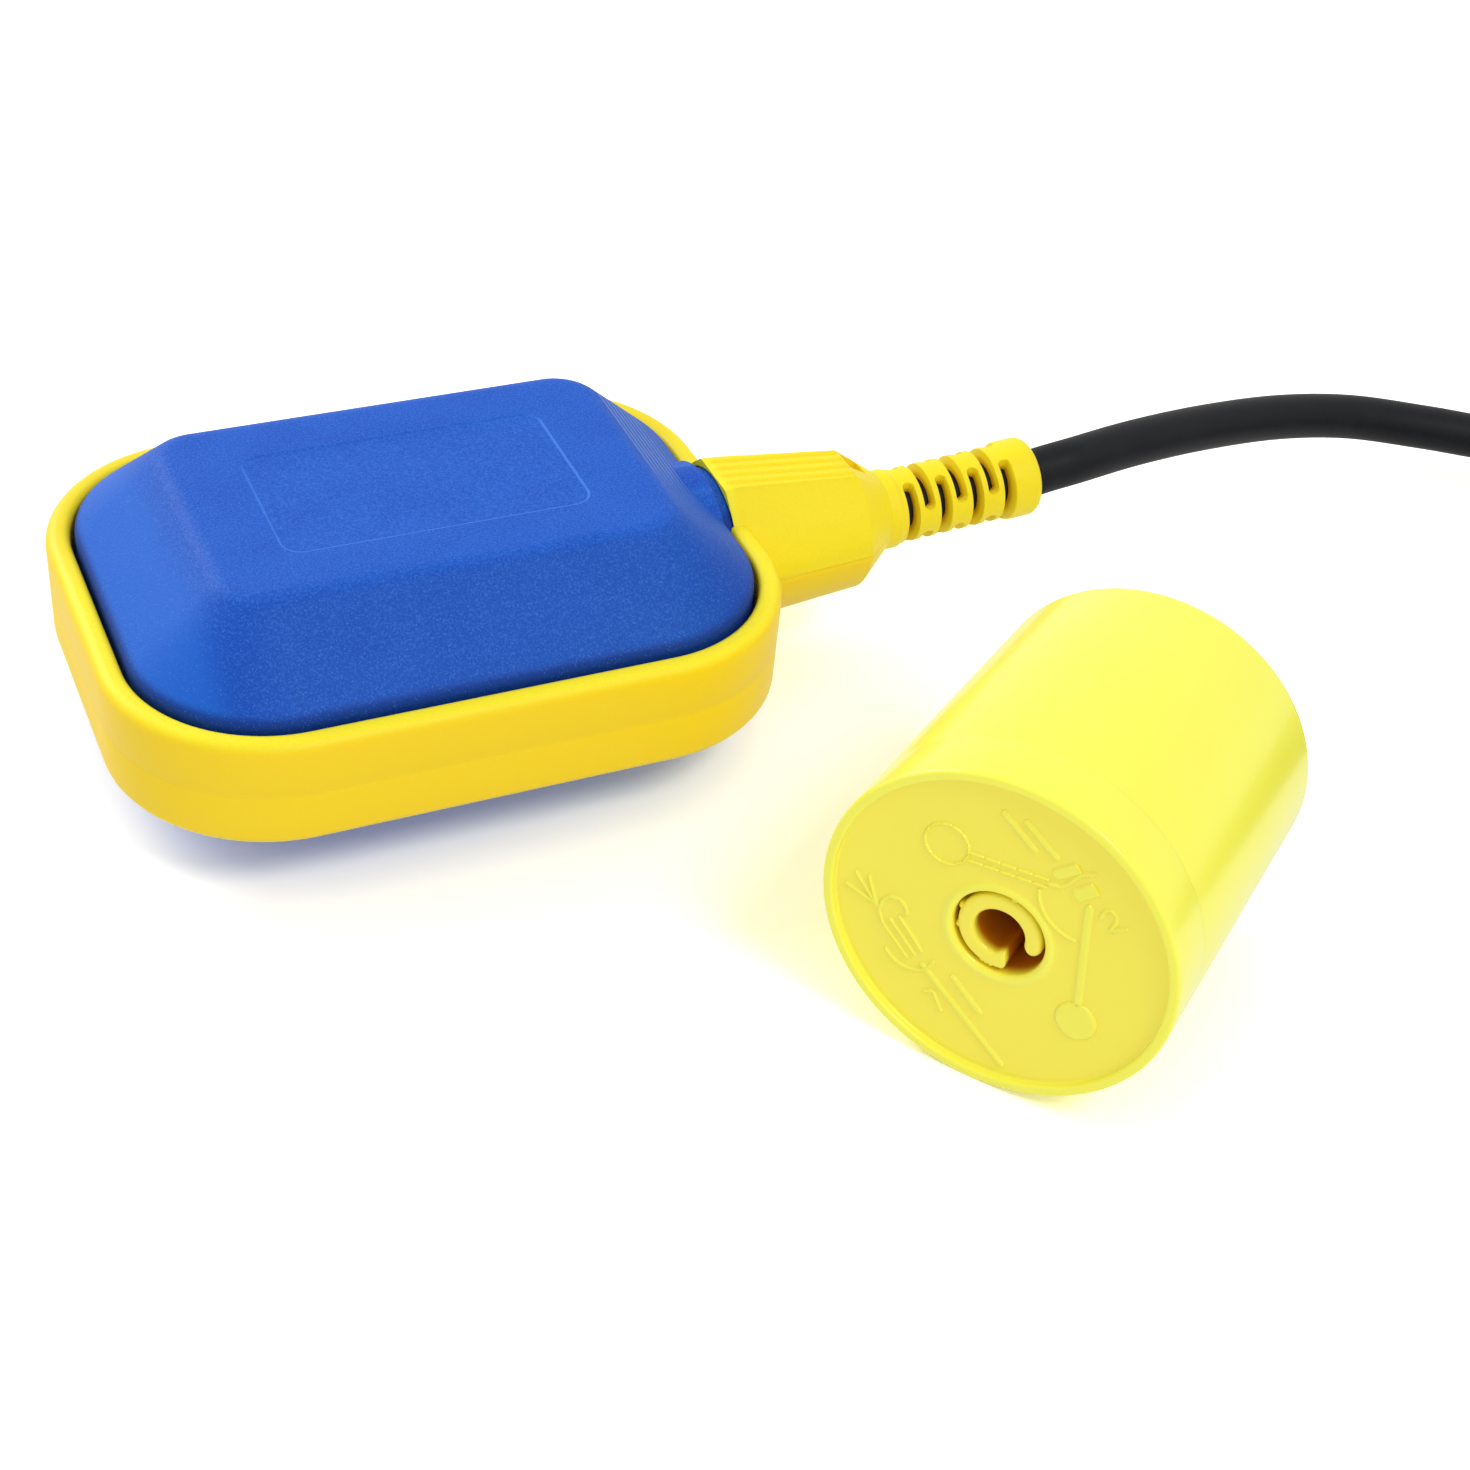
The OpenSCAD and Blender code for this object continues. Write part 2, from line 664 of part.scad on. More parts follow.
module switch_case() {
    in_l = case_l - 2 * case_t;
    in_w = case_w - 2 * case_t;
    ledge_z = race_z - race_floor - case_z - fit;
    rib_z = pivot_z + micro_top - micro_h - case_z - fit;
    ribs = [[-3, 1.9, -3.2, 3.2], [4.2, 1.8, -0.2, 3.2]];
    color("whitesmoke") translate([case_x, 0, case_z]) difference() {
        union() {
            difference() {
                case_blank(case_h);
                translate([0, 0, case_t]) linear_extrude(case_h) rrect(in_l, in_w, 1.6);
            }
            lid_screw_places() cylinder(h = case_h, r = lid_post_r);
            for (s = [-1, 1])
                translate([-in_l / 2, s * (in_w / 2 - ledge / 2 + 0.1) - ledge / 2, case_t])
                    cube([race_x1 - race_x0 + 6, ledge, ledge_z - case_t]);
            for (b = ribs)
                translate([pivot_x + b[0] - case_x, b[2], case_t / 2])
                    cube([b[1], b[3] - b[2], rib_z - case_t / 2]);
        }
        lid_screw_places() translate([0, 0, case_h - 10]) cylinder(h = 11, r = lid_screw_r + run_fit);
        translate([case_l / 2 - case_t - 1, -core_in_y - 2.4, core_in_z - case_z - 2.4])
            cube([case_t + 2, 2 * core_in_y + 4.8, 4.8]);
    }
}

module case_lid() {
    color("whitesmoke") translate([case_x, 0, case_z + case_h + run_fit]) difference() {
        case_blank(lid_t - run_fit);
        lid_screw_places() {
            translate([0, 0, -1]) cylinder(h = lid_t + 2, r = lid_screw_r + fit);
            translate([0, 0, lid_t - 1.1]) cylinder(h = 2, r = 2.2);
        }
    }
}

module case_screws() {
    color("silver") translate([case_x, 0, case_z + case_h + lid_t - 1.05])
        lid_screw_places() screw(lid_screw_r, 9, 2, 1);
}

// the plug that seals the three cores in the case's end wall
module core_seal() {
    color(black) difference() {
        union() {
            translate([core_in_x - case_t - 0.8, -core_in_y - 2.3, core_in_z - 2.3])
                cube([case_t + 2.2, 2 * core_in_y + 4.6, 4.6]);
            translate([core_in_x + fit, -core_in_y - 3.2, core_in_z - 3.2])
                cube([1.2, 2 * core_in_y + 6.4, 6.4]);
        }
        for (y = [-1:1])
            translate([0, y * core_in_y, core_in_z])
                along_x(core_in_x - 5, core_in_x + 5, core_d / 2 + 0.2);
    }
}

// the channel that the ball rolls in, with the slot that the lever comes up through
module ball_race() {
    in_w = case_w - 2 * case_t - 2 * fit;
    race_l = race_x1 - race_x0;
    color("gainsboro") difference() {
        union() {
            translate([race_x0 - race_wall, -in_w / 2, race_z - race_floor])
                cube([race_l + 2 * race_wall, in_w, race_floor]);
            translate([race_x0 - race_wall, -race_in_w / 2 - race_wall, race_z - tiny])
                cube([race_l + 2 * race_wall, race_in_w + 2 * race_wall, race_side_h]);
        }
        translate([race_x0, -race_in_w / 2, race_z]) cube([race_l, race_in_w, race_side_h]);
        translate([case_x, 0, race_z - 3]) lid_screw_places()
            cylinder(h = race_side_h + 6, r = lid_post_r + fit);
        translate([pivot_x - 2.4, -race_slot / 2, race_z - 2])
            cube([lever_l + 4.4, race_slot, 2 + 0.01]);
        translate([race_x0 - race_wall - 1, -race_slot / 2, race_z - 2])
            cube([1 + race_wall + pivot_x + 2.4 - race_x0, race_slot, 2.4]);
    }
}

module steel_ball() {
    color("lightsteelblue") translate([pivot_x + ball_start, 0, ball_z]) sphere(ball_r);
}

// ---------- microswitch, drawn from the lever's pivot ----------

module at_pivot() {
    translate([pivot_x, 0, pivot_z]) children();
}

module micro_cavity() {
    cover_t = 1;
    translate([micro_x0 + micro_wall, -micro_w / 2 - 1, micro_top - micro_h + micro_wall])
        cube([micro_l - 2 * micro_wall, micro_w + 1 - micro_wall, micro_h - 2 * micro_wall]);
    translate([micro_x0 - 1, -micro_w / 2 - 1, micro_top - micro_h - 1])
        cube([micro_l + 2, 1 + cover_t + run_fit, micro_h + 2]);
}

module rivet_places() {
    for (p = rivets) translate([p[0], 0, p[1]]) rotate([90, 0, 0]) children();
}

module switch_body() {
    ear_in = lever_w / 2 - 0.4;
    color("firebrick") at_pivot() difference() {
        union() {
            difference() {
                translate([micro_x0, -micro_w / 2, micro_top - micro_h])
                    cube([micro_l, micro_w, micro_h]);
                micro_cavity();
            }
            for (s = [-1, 1])
                translate([-1.3, s * (ear_in + 0.4) - 0.4, micro_top - 1.2])
                    cube([2.6, 0.8, 2.4 - micro_top - 0.2]);
            rivet_places() translate([0, 0, -micro_w / 2])
                cylinder(h = micro_w - 1 - run_fit, r = 1.2);
        }
        rotate([90, 0, 0]) cylinder(h = 8, r = pin_r + 0.02, center = true);
        rivet_places() cylinder(h = 12, r = 0.62, center = true);
        translate([plunger_x, 0, micro_top - 3]) cylinder(h = 4, r = plunger_r + run_fit);
        for (x = terminal_x)
            translate([x - terminal_w / 2 - run_fit, -terminal_t / 2 - run_fit,
                micro_top - micro_h - 1])
                cube([terminal_w + 2 * run_fit, terminal_t + 2 * run_fit, 3]);
    }
}

module switch_cover() {
    color("firebrick") at_pivot() difference() {
        translate([micro_x0, -micro_w / 2, micro_top - micro_h]) cube([micro_l, 1, micro_h]);
        rivet_places() cylinder(h = 12, r = 0.62, center = true);
    }
}

module switch_rivets() {
    color("silver") at_pivot() rivet_places() {
        cylinder(h = micro_w + 0.1, r = 0.6, center = true);
        for (s = [-1, 1])
            translate([0, 0, s * (micro_w / 2 + 0.25)]) cylinder(h = 0.4, r = 1, center = true);
    }
}

// the lever slopes up into the ball's path and is pressed down as the ball rolls over it
module actuator_lever() {
    color("silver") at_pivot() rotate([0, -lever_rest, 0]) difference() {
        union() {
            translate([0, -eye_w / 2, -lever_t]) cube([3, eye_w, lever_t]);
            translate([2.4, -lever_w / 2, -lever_t]) cube([lever_l - 2.4, lever_w, lever_t]);
            rotate([90, 0, 0]) cylinder(h = eye_w, r = eye_r, center = true);
        }
        rotate([90, 0, 0]) cylinder(h = 8, r = pin_r + run_fit, center = true);
    }
}

module lever_pin() {
    color("silver") at_pivot() rotate([90, 0, 0]) cylinder(h = 4, r = pin_r, center = true);
}

module plunger() {
    top = (plunger_x - plunger_r) * tan(lever_rest) - lever_t / cos(lever_rest) - 0.12;
    low = blade_z + blade_t / 2 + (plunger_x - blade_x) * tan(blade_half) + 0.1;
    color("ivory") at_pivot() translate([plunger_x, 0, 0]) {
        translate([0, 0, micro_top - micro_wall - 0.8])
            cylinder(h = top - micro_top + micro_wall + 0.8, r = plunger_r);
        translate([0, 0, low])
            cylinder(h = micro_top - micro_wall - 0.7 - low, r = plunger_r * 0.7);
    }
}

// the moving contact, up against the upper contact at rest
module contact_blade() {
    color("goldenrod") at_pivot() translate([blade_x, 0, blade_z]) rotate([0, -blade_half, 0]) {
        translate([0, -1, -blade_t / 2]) cube([blade_l + 0.6, 2, blade_t]);
        translate([blade_l, 0, 0]) cylinder(h = 1.1, r = 0.8, center = true);
    }
}

// three flat terminals: common under the blade's pivot, then the lower and the upper contact
module terminals() {
    foot = micro_top - micro_h - terminal_out;
    low_z = blade_z - blade_tip - 0.75;
    high_z = blade_z + blade_tip + 0.75;
    floor_z = micro_top - micro_h + micro_wall;
    color("goldenrod") at_pivot() {
        translate([terminal_x[0] - terminal_w / 2, -terminal_t / 2, foot])
            cube([terminal_w, terminal_t, blade_z - 0.4 - foot]);
        translate([terminal_x[1] - terminal_w / 2, -terminal_t / 2, foot])
            cube([terminal_w, terminal_t, floor_z + 0.8 - foot]);
        translate([terminal_x[1] - terminal_w / 2, -1, floor_z + 0.1])
            cube([blade_x + blade_l - terminal_x[1] + 0.4, 2, 0.7]);
        translate([blade_x + blade_l - 0.3, 0, floor_z + 0.3])
            cylinder(h = low_z - floor_z - 0.3, r = 0.8);
        translate([terminal_x[2] - terminal_w / 2 + 0.8, -terminal_t / 2, foot])
            cube([terminal_w - 0.8, terminal_t, floor_z - 0.1 - foot]);
        translate([terminal_x[2] + 1, -terminal_t / 2, foot])
            cube([0.3, terminal_t, high_z + 0.6 - foot]);
        translate([blade_x + blade_l - 0.8, -1, high_z])
            cube([terminal_x[2] + 1.3 - blade_x - blade_l + 0.8, 2, 0.7]);
    }
}

module crimp(x, y) {
    translate([0, y, crimp_z]) difference() {
        along_x(x - crimp_l / 2, x + crimp_l / 2, crimp_r);
        along_x(x - crimp_l, x + crimp_l, core_d / 2 + run_fit);
    }
}

module terminal_crimps() {
    color("silver") {
        crimp(crimp_x[0], -crimp_y);
        crimp(crimp_x[1], crimp_y);
        crimp(crimp_x[2], -crimp_y);
    }
}

module core_brown() {
    color("saddlebrown") tube(smooth(brown_path, 3), core_d / 2, 8);
}

module core_black() {
    color("black") tube(smooth(black_path, 3), core_d / 2, 8);
}

module core_blue() {
    color("steelblue") tube(smooth(blue_path, 3), core_d / 2, 8);
}

// ---------- free cable ----------

module cable_run() {
    color(black) tube(run_points, cable_r, 10);
}

module cable_coil() {
    color(black) tube(coil_path, cable_r, 6);
}

// one tie round the bundle, f of a turn on from the coil's first point
module cable_tie(f) {
    low_r = coil_r - coil_pitch * (turn_back - 0.5 + abs(f - 0.5)) - cable_r;
    high_r = coil_r - coil_pitch * (0.5 - abs(f - 0.5)) + cable_r;
    wide = high_r - low_r + 2 * coil_gap;
    tall = 2 * cable_r + coil_pitch + 2 * tie_gap;
    translate([coil_c[0], coil_c[1], 0]) rotate([0, 0, coil_in - 360 * f])
        translate([(low_r + high_r) / 2, 0, tie_t + tall / 2]) rotate([90, 0, 0]) {
            linear_extrude(tie_w, center = true) difference() {
                rrect(wide + 2 * tie_t, tall + 2 * tie_t, 3.4);
                rrect(wide, tall, 2.4);
            }
            translate([0, tall / 2 + tie_t + 1.2, 0]) cube([7, 3.2, tie_w + 1.8], center = true);
        }
}

module cable_ties() {
    color("whitesmoke") for (f = [0.3, 0.7]) cable_tie(f);
}

// a core's bare end: k is -1, 0 or 1 across the fan
function tail_dir(k) = let (a = atan2(coil_out_dir[1], coil_out_dir[0]) + k * fan)
    [cos(a), sin(a), 0];
function tail_points(k) =
    let (d = [coil_out_dir[0], coil_out_dir[1], 0], s = [-d[1], d[0], 0],
        at = tail_at + k * 1.4 * s + [0, 0, k == 0 ? 1.3 : -1],
        low = [0, 0, core_d / 2 + 0.1 - at[2]])
    [at, at + 2 * d, at + 5 * d, at + 14 * d + 2.6 * k * s + 0.5 * low,
        at + 24 * d + 5 * k * s + low, at + 24 * d + 5 * k * s + low + (core_tail - 24) * tail_dir(k)];

module tail_core(k) {
    tube(smooth(tail_points(k), 3), core_d / 2, 8);
}

module tail_brown() {
    color("saddlebrown") tail_core(-1);
}

module tail_black() {
    color("black") tail_core(0);
}

module tail_blue() {
    color("steelblue") tail_core(1);
}

module tail_copper() {
    color("peru") for (k = [-1:1]) {
        p = tail_points(k);
        tube([p[5], p[5] + strip_l * tail_dir(k)], copper_d / 2, 8);
    }
}

// ---------- counterweight, drawn along +Z from its front rim ----------

module place_weight() {
    translate([weight_at[0], weight_at[1], weight_r * cos(weight_tilt)])
        rotate([0, 0, weight_turn]) rotate([0, 90 + weight_tilt, 0]) children();
}

// the face seen from the front: x to the right, y up, z towards the viewer
module on_face() {
    translate([0, 0, face_z]) rotate([180, 0, -90]) children();
}

module weight_case() {
    z0 = cap_l + seam;
    r0 = weight_rad(z0);
    tube_z = face_z + socket_l + 0.6;
    tube_r = bore_r + 1.5;
    color(lemon) place_weight() rotate_extrude() polygon([[bore_r, tube_z], [bore_r, weight_l],
        [weight_rear_r - 1, weight_l], [weight_rad(weight_l - 1), weight_l - 1], [r0, z0],
        [r0 - weight_t, z0], [weight_rear_r - weight_t, weight_l - weight_t],
        [tube_r, weight_l - weight_t], [tube_r, tube_z]]);
}

module weight_cap() {
    back = face_z + weight_t;
    spigot_r = weight_rad(cap_l) - weight_t - fit;
    socket_out = socket_r + socket_wall;
    color(lemon) place_weight() {
        rotate_extrude() {
            polygon([[socket_r, face_z], [weight_r - rim_t, face_z], [weight_r - rim_t, 0.3],
                [weight_r - rim_t + 0.3, 0], [weight_r - 0.5, 0], [weight_rad(0.5), 0.5],
                [weight_rad(cap_l), cap_l], [spigot_r, cap_l], [spigot_r, cap_l + spigot_l],
                [spigot_r - 1.6, cap_l + spigot_l], [spigot_r - 1.6, back], [socket_out, back],
                [socket_out, face_z + socket_l], [socket_r, face_z + socket_l]]);
            translate([socket_r + 0.5, face_z]) circle(0.45);
        }
        on_face() face_marks();
    }
}

module weight_ballast() {
    color("dimgray") place_weight() difference() {
        translate([0, 0, weight_l - weight_t - fit - ballast_l])
            cylinder(h = ballast_l, r1 = weight_rear_r - weight_t - fit,
                r2 = weight_rear_r - weight_t - fit);
        cylinder(h = weight_l, r = bore_r + 1.5 + fit);
    }
}

module clip_end(a) {
    r = clip_half_t - 0.05;
    rotate([0, 0, a]) translate([clip_mid_r, 0, 0]) {
        translate([0, 0, -clip_l]) cylinder(h = clip_l - clip_edge, r = r);
        translate([0, 0, -clip_edge]) cylinder(h = clip_edge, r1 = r, r2 = r - clip_edge);
    }
}

module cable_clip() {
    open = 360 - 2 * clip_gap;
    color(lemon) place_weight() on_face() {
        rotate([0, 0, clip_turn + clip_gap]) rotate_extrude(angle = open)
            polygon([[clip_in_r, -clip_l], [clip_r, -clip_l], [clip_r, -clip_edge],
                [clip_r - clip_edge, 0], [clip_in_r + clip_edge, 0], [clip_in_r, -clip_edge]]);
        for (s = [-1, 1]) clip_end(clip_turn + s * clip_gap);
        for (a = [100, 180, 250])
            rotate([0, 0, a]) translate([clip_r - 0.1, 0, -clip_l + 0.5])
                cylinder(h = clip_l - 2.5, r = socket_r - clip_r + 0.1 - run_fit);
    }
}

// ---------- raised marks on the face: how the cable is threaded and how the float swings ----------

module stroke(a, b, w) {
    d = b - a;
    translate(a) rotate([0, 0, atan2(d[1], d[0])]) {
        translate([0, -w / 2]) square([norm(d), w]);
        circle(w / 2);
        translate([norm(d), 0]) circle(w / 2);
    }
}

module arc_stroke(c, r, a0, a1, w) {
    translate(c) intersection() {
        difference() {
            circle(r + w / 2);
            circle(r - w / 2);
        }
        polygon([[0, 0], for (k = [0:3]) 2 * r * [cos(a0 + (a1 - a0) * k / 3),
            sin(a0 + (a1 - a0) * k / 3)]]);
    }
}

// three wires drawn through a block, the cable leaving it, two bars beside it and a 1
module threading_mark() {
    for (p = [[-21.6, -2.6], [-20.9, -0.9], [-18.9, -0.2]]) stroke(p, [-16.8, -3.6], mark_w);
    for (k = [0, 1, 2])
        stroke([-16 + 1.1 * k, -5.4 + 0.9 * k], [-10.4 + 1.1 * k, -10.4 + 0.9 * k], mark_w);
    arc_stroke([-15, -4.6], 2.4, 20, 150, mark_w);
    arc_stroke([-10.8, -9.4], 3.2, 190, 330, mark_w);
    stroke([-7.8, -11.2], [4, -21.4], mark_w);
    stroke([-4.6, -11.4], [0.6, -15.9], 1);
    stroke([-8.6, -15.2], [-7.4, -14.6], mark_w);
    stroke([-7.4, -14.6], [-6.6, -17.2], mark_w);
}

// a float hanging on its cable, its raised place dashed, the arc between them and a 2
module swing_mark() {
    for (k = [0:7]) arc_stroke([-9.4, 11.3], 2.9, 45 * k, 45 * k + 28, mark_w);
    for (k = [0:3]) {
        stroke([-5.2 + 2.7 * k, 12.2 + 0.25 * k], [-3.8 + 2.7 * k, 12.3 + 0.25 * k], 0.5);
        stroke([-5.2 + 2.7 * k, 11 + 0.25 * k], [-3.8 + 2.7 * k, 11.1 + 0.25 * k], 0.5);
    }
    stroke([-2, 20.3], [2.8, 17], 1);
    stroke([1.6, 20.6], [6.4, 16.8], 1);
    translate([8.8, 15]) rotate([0, 0, -22]) difference() {
        square([6.4, 3.6], center = true);
        square([4.9, 2.1], center = true);
    }
    arc_stroke([11.4, 11.8], 6.8, 195, 262, mark_w);
    translate([11.5, -5]) square([1.6, 16]);
    translate([13.2, -8.4]) circle(3.3);
    arc_stroke([15.2, 10.2], 1.1, -40, 160, mark_w);
    stroke([16, 9.4], [14.4, 7.9], mark_w);
    stroke([14.4, 7.9], [16.6, 7.9], mark_w);
}

module face_marks() {
    translate([0, 0, -0.1]) linear_extrude(mark_h + 0.1) {
        threading_mark();
        swing_mark();
    }
}

upper_shell();
lower_shell();
shell_seal();
band();
bend_relief();
cable_lead();
cable_seal();
cable_clamp();
clamp_screws();
switch_case();
case_lid();
case_screws();
ball_race();
steel_ball();
core_seal();
switch_body();
switch_cover();
switch_rivets();
actuator_lever();
lever_pin();
plunger();
contact_blade();
terminals();
core_brown();
core_black();
core_blue();
terminal_crimps();
cable_run();
cable_coil();
cable_ties();
tail_brown();
tail_black();
tail_blue();
tail_copper();
weight_case();
weight_cap();
weight_ballast();
cable_clip();
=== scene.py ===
import json
import math
from functools import partialmethod

import bpy
import numpy as np
from mathutils import Matrix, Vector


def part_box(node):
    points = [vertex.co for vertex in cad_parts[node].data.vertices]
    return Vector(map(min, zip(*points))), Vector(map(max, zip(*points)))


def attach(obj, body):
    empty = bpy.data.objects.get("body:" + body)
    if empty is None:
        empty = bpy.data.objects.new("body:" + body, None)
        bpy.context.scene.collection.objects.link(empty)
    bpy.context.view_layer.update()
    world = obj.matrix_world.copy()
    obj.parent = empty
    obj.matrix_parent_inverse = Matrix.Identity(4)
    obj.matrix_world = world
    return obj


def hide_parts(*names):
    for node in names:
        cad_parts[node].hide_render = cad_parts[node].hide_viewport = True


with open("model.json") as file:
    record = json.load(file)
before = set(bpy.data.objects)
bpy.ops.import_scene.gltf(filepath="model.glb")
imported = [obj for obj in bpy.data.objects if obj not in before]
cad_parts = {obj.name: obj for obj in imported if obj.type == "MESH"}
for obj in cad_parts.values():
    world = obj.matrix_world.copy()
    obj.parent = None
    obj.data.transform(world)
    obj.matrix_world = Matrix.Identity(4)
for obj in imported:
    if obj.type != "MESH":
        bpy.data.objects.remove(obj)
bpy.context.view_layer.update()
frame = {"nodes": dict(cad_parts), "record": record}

bl_info = {
    "name": "Cable Float Switch",
    "version": (1, 0, 0),
    "blender": (4, 5, 0),
    "location": "3D Viewport > Sidebar > Float Switch",
    "description": "Builds a cable float switch and its counterweight on their packed frame",
    "category": "Object",
}

# lengths in the functions below are in mm
MM = 0.001
MID = 21.6            # height of the parting plane, and of each half shell
LIFT = math.radians(3.5)
NECK_END = 79.0
RELIEF_DIR = np.array([math.cos(LIFT), 0, math.sin(LIFT)])
RELIEF_END = np.array([NECK_END, 0, MID]) + 31.3 * RELIEF_DIR

# the counterweight's front rim centre, its axis, and right and up on its face seen from the front
WEIGHT_LONG = 54.4
WEIGHT_TURN = math.radians(36.3)
WEIGHT_TILT = math.atan(1.1 / WEIGHT_LONG)
WEIGHT_AT = np.array([46.6, -102.0, 26 * math.cos(WEIGHT_TILT)])
LEVEL, UP = np.array([[math.cos(WEIGHT_TURN), math.sin(WEIGHT_TURN), 0], [0, 0, 1]])
WEIGHT_AXIS = math.cos(WEIGHT_TILT) * LEVEL - math.sin(WEIGHT_TILT) * UP
FACE_UP = math.sin(WEIGHT_TILT) * LEVEL + math.cos(WEIGHT_TILT) * UP
FACE_RIGHT = np.cross(WEIGHT_AXIS, FACE_UP)


# ---------------- sizes and colours

def size(name, description, mm):
    """A length that the sidebar shows."""
    return bpy.props.FloatProperty(name=name, description=description, default=mm * MM, unit="LENGTH")


def paint(name, description, colour):
    """A colour that the sidebar shows."""
    return bpy.props.FloatVectorProperty(name=name, description=description, default=colour,
                                         subtype="COLOR", min=0, max=1)


class FloatSizes(bpy.types.PropertyGroup):
    """Sizes of the float, its neck and its bend relief"""
    length: size("Band length", "Length of the band round the shells", 105)
    width: size("Band width", "Width of the band", 81)
    corner: size("Corner radius", "Plan radius of the band's corners", 25)
    lip: size("Lip thickness", "Thickness of the band's lip", 3.7)
    brow: size("Brow radius", "Rounding between plateau and slopes", 4.5)
    shoulder: size("Shoulder radius", "Rounding at the slopes' foot", 2.5)
    label_depth: size("Label depth", "Depth of the label panel", 0.18)
    ridge: size("Ridge height", "Height of the neck's top ridges", 0.6)
    slot: size("Slot width", "Width of the bend relief's slots", 1.8)


class CableSizes(bpy.types.PropertyGroup):
    """Sizes of the cable and its cores"""
    diameter: size("Cable diameter", "Diameter of the jacket", 8.1)
    core: size("Core diameter", "Diameter of an insulated core", 2.3)
    copper: size("Conductor diameter", "Diameter of the bare strands", 1.3)


class WeightSizes(bpy.types.PropertyGroup):
    """Sizes of the counterweight and its marks"""
    front: size("Front radius", "Radius at the front rim", 26)
    rear: size("Rear radius", "Radius at the rear end", 24.9)
    face: size("Face depth", "Depth of the face below the rim", 1.2)
    mark: size("Mark height", "Height of the raised marks", 0.3)


class Paints(bpy.types.PropertyGroup):
    """Base colours"""
    shell: paint("Shell", "Colour of the two half shells", (0.012, 0.102, 0.535))
    band: paint("Band", "Colour of the band and bend relief", (0.95, 0.76, 0.013))
    weight: paint("Weight", "Colour of the counterweight", (0.96, 0.93, 0.075))
    cable: paint("Cable", "Colour of the cable's jacket", (0.006, 0.0065, 0.008))


class StageSettings(bpy.types.PropertyGroup):
    """Camera, light and floor"""
    lens: bpy.props.FloatProperty(name="Lens", description="Focal length on a 36 mm sensor", default=60.87)
    place: bpy.props.FloatVectorProperty(name="Camera place", description="Where the camera stands",
                                         default=(-0.09929, -0.29927, 0.25153), subtype="XYZ")
    turn: bpy.props.FloatVectorProperty(
        name="Yaw, pitch, roll", description="Camera's turn, down angle and roll", subtype="XYZ",
        default=(math.radians(-27.775), math.radians(38.879), math.radians(6.037)))
    world: bpy.props.FloatProperty(name="Room light", description="Strength of the even room light",
                                   default=0.7, min=0)
    key: bpy.props.FloatProperty(name="Key light", description="Power of the large soft lamp, in watts",
                                 default=2.8, min=0)


GROUPS = {"switch_sizes": FloatSizes, "switch_cable": CableSizes, "switch_weight": WeightSizes,
          "switch_paints": Paints, "switch_stage": StageSettings}


# ---------------- surfaces

def unit(v):
    """A vector, or rows of vectors, divided by its length."""
    v = np.asarray(v, float)
    return v / np.linalg.norm(v, axis=-1, keepdims=True)


def smoothstep(x, low, high):
    """0 below low, 1 above high, and 3t^2 - 2t^3 between them."""
    t = np.clip((x - low) / (high - low), 0, 1)
    return t * t * (3 - 2 * t)


def turns(n):
    """n angles evenly round a circle."""
    return np.linspace(0, 2 * math.pi, n, endpoint=False)


def polar(r, a):
    """Plane points at distance r and angle a from the origin."""
    return np.stack([r * np.cos(a), r * np.sin(a)], -1)


def skin(rings, wrap=False):
    """A closed skin over rings of points, shape (n, m, 3): quads join neighbouring rings, and each end is a
    fan to its ring's middle, unless wrap joins the last ring to the first. Faces are turned outwards by the
    sign of the volume they enclose."""
    n, m = rings.shape[:2]
    i, j = np.meshgrid(np.arange(n if wrap else n - 1), np.arange(m), indexing="ij")
    k, q = (i + 1) % n, (j + 1) % m
    quads = np.stack([i * m + j, i * m + q, k * m + q, k * m + j], -1).reshape(-1, 4)
    points = rings.reshape(-1, 3)
    tris = np.zeros((0, 3), int)
    if not wrap:
        j, q = j[0], q[0]
        first = np.stack([q, j, np.full(m, n * m)], -1)
        last = np.stack([(n - 1) * m + j, (n - 1) * m + q, np.full(m, n * m + 1)], -1)
        tris = np.vstack([first, last])
        points = np.vstack([points, rings[0].mean(0), rings[-1].mean(0)])
    halves = np.vstack([quads[:, :3], quads[:, [0, 2, 3]], tris])
    a, b, c = (points[halves[:, s]] - points.mean(0) for s in range(3))
    if np.einsum("ij,ij->i", a, np.cross(b, c)).sum() < 0:
        quads, tris = quads[:, ::-1], tris[:, ::-1]
    return points, quads, tris


def piece(name, skins, body, slot, stands_for=(), sharp=40.0, look=None):
    """One object from closed skins in mm: vertices and faces go in as whole arrays, edges that turn by more
    than sharp degrees stay crisp. Its finish is its slot's, unless look names another."""
    points = np.vstack([s[0] for s in skins]) * MM
    first = np.cumsum([0] + [len(s[0]) for s in skins])
    quads, tris = (np.vstack([s[k] + n for s, n in zip(skins, first)]) for k in (1, 2))
    mesh = bpy.data.meshes.new(name)
    mesh.vertices.add(len(points))
    mesh.vertices.foreach_set("co", points.astype(np.float32).ravel())
    mesh.loops.add(quads.size + tris.size)
    mesh.loops.foreach_set("vertex_index", np.concatenate([quads.ravel(), tris.ravel()]).astype(np.int32))
    mesh.polygons.add(len(quads) + len(tris))
    starts = np.concatenate([np.arange(len(quads)) * 4, quads.size + np.arange(len(tris)) * 3])
    mesh.polygons.foreach_set("loop_start", starts.astype(np.int32))
    mesh.polygons.foreach_set("use_smooth", np.ones(len(starts), bool))
    mesh.update(calc_edges=True)
    mesh.validate()
    mesh.set_sharp_from_angle(angle=math.radians(sharp))
    mesh.materials.append(finish(look or slot))
    obj = bpy.data.objects.new(name, mesh)
    bpy.context.scene.collection.objects.link(obj)
    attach(obj, body)
    if stands_for:
        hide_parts(*stands_for)
    return obj


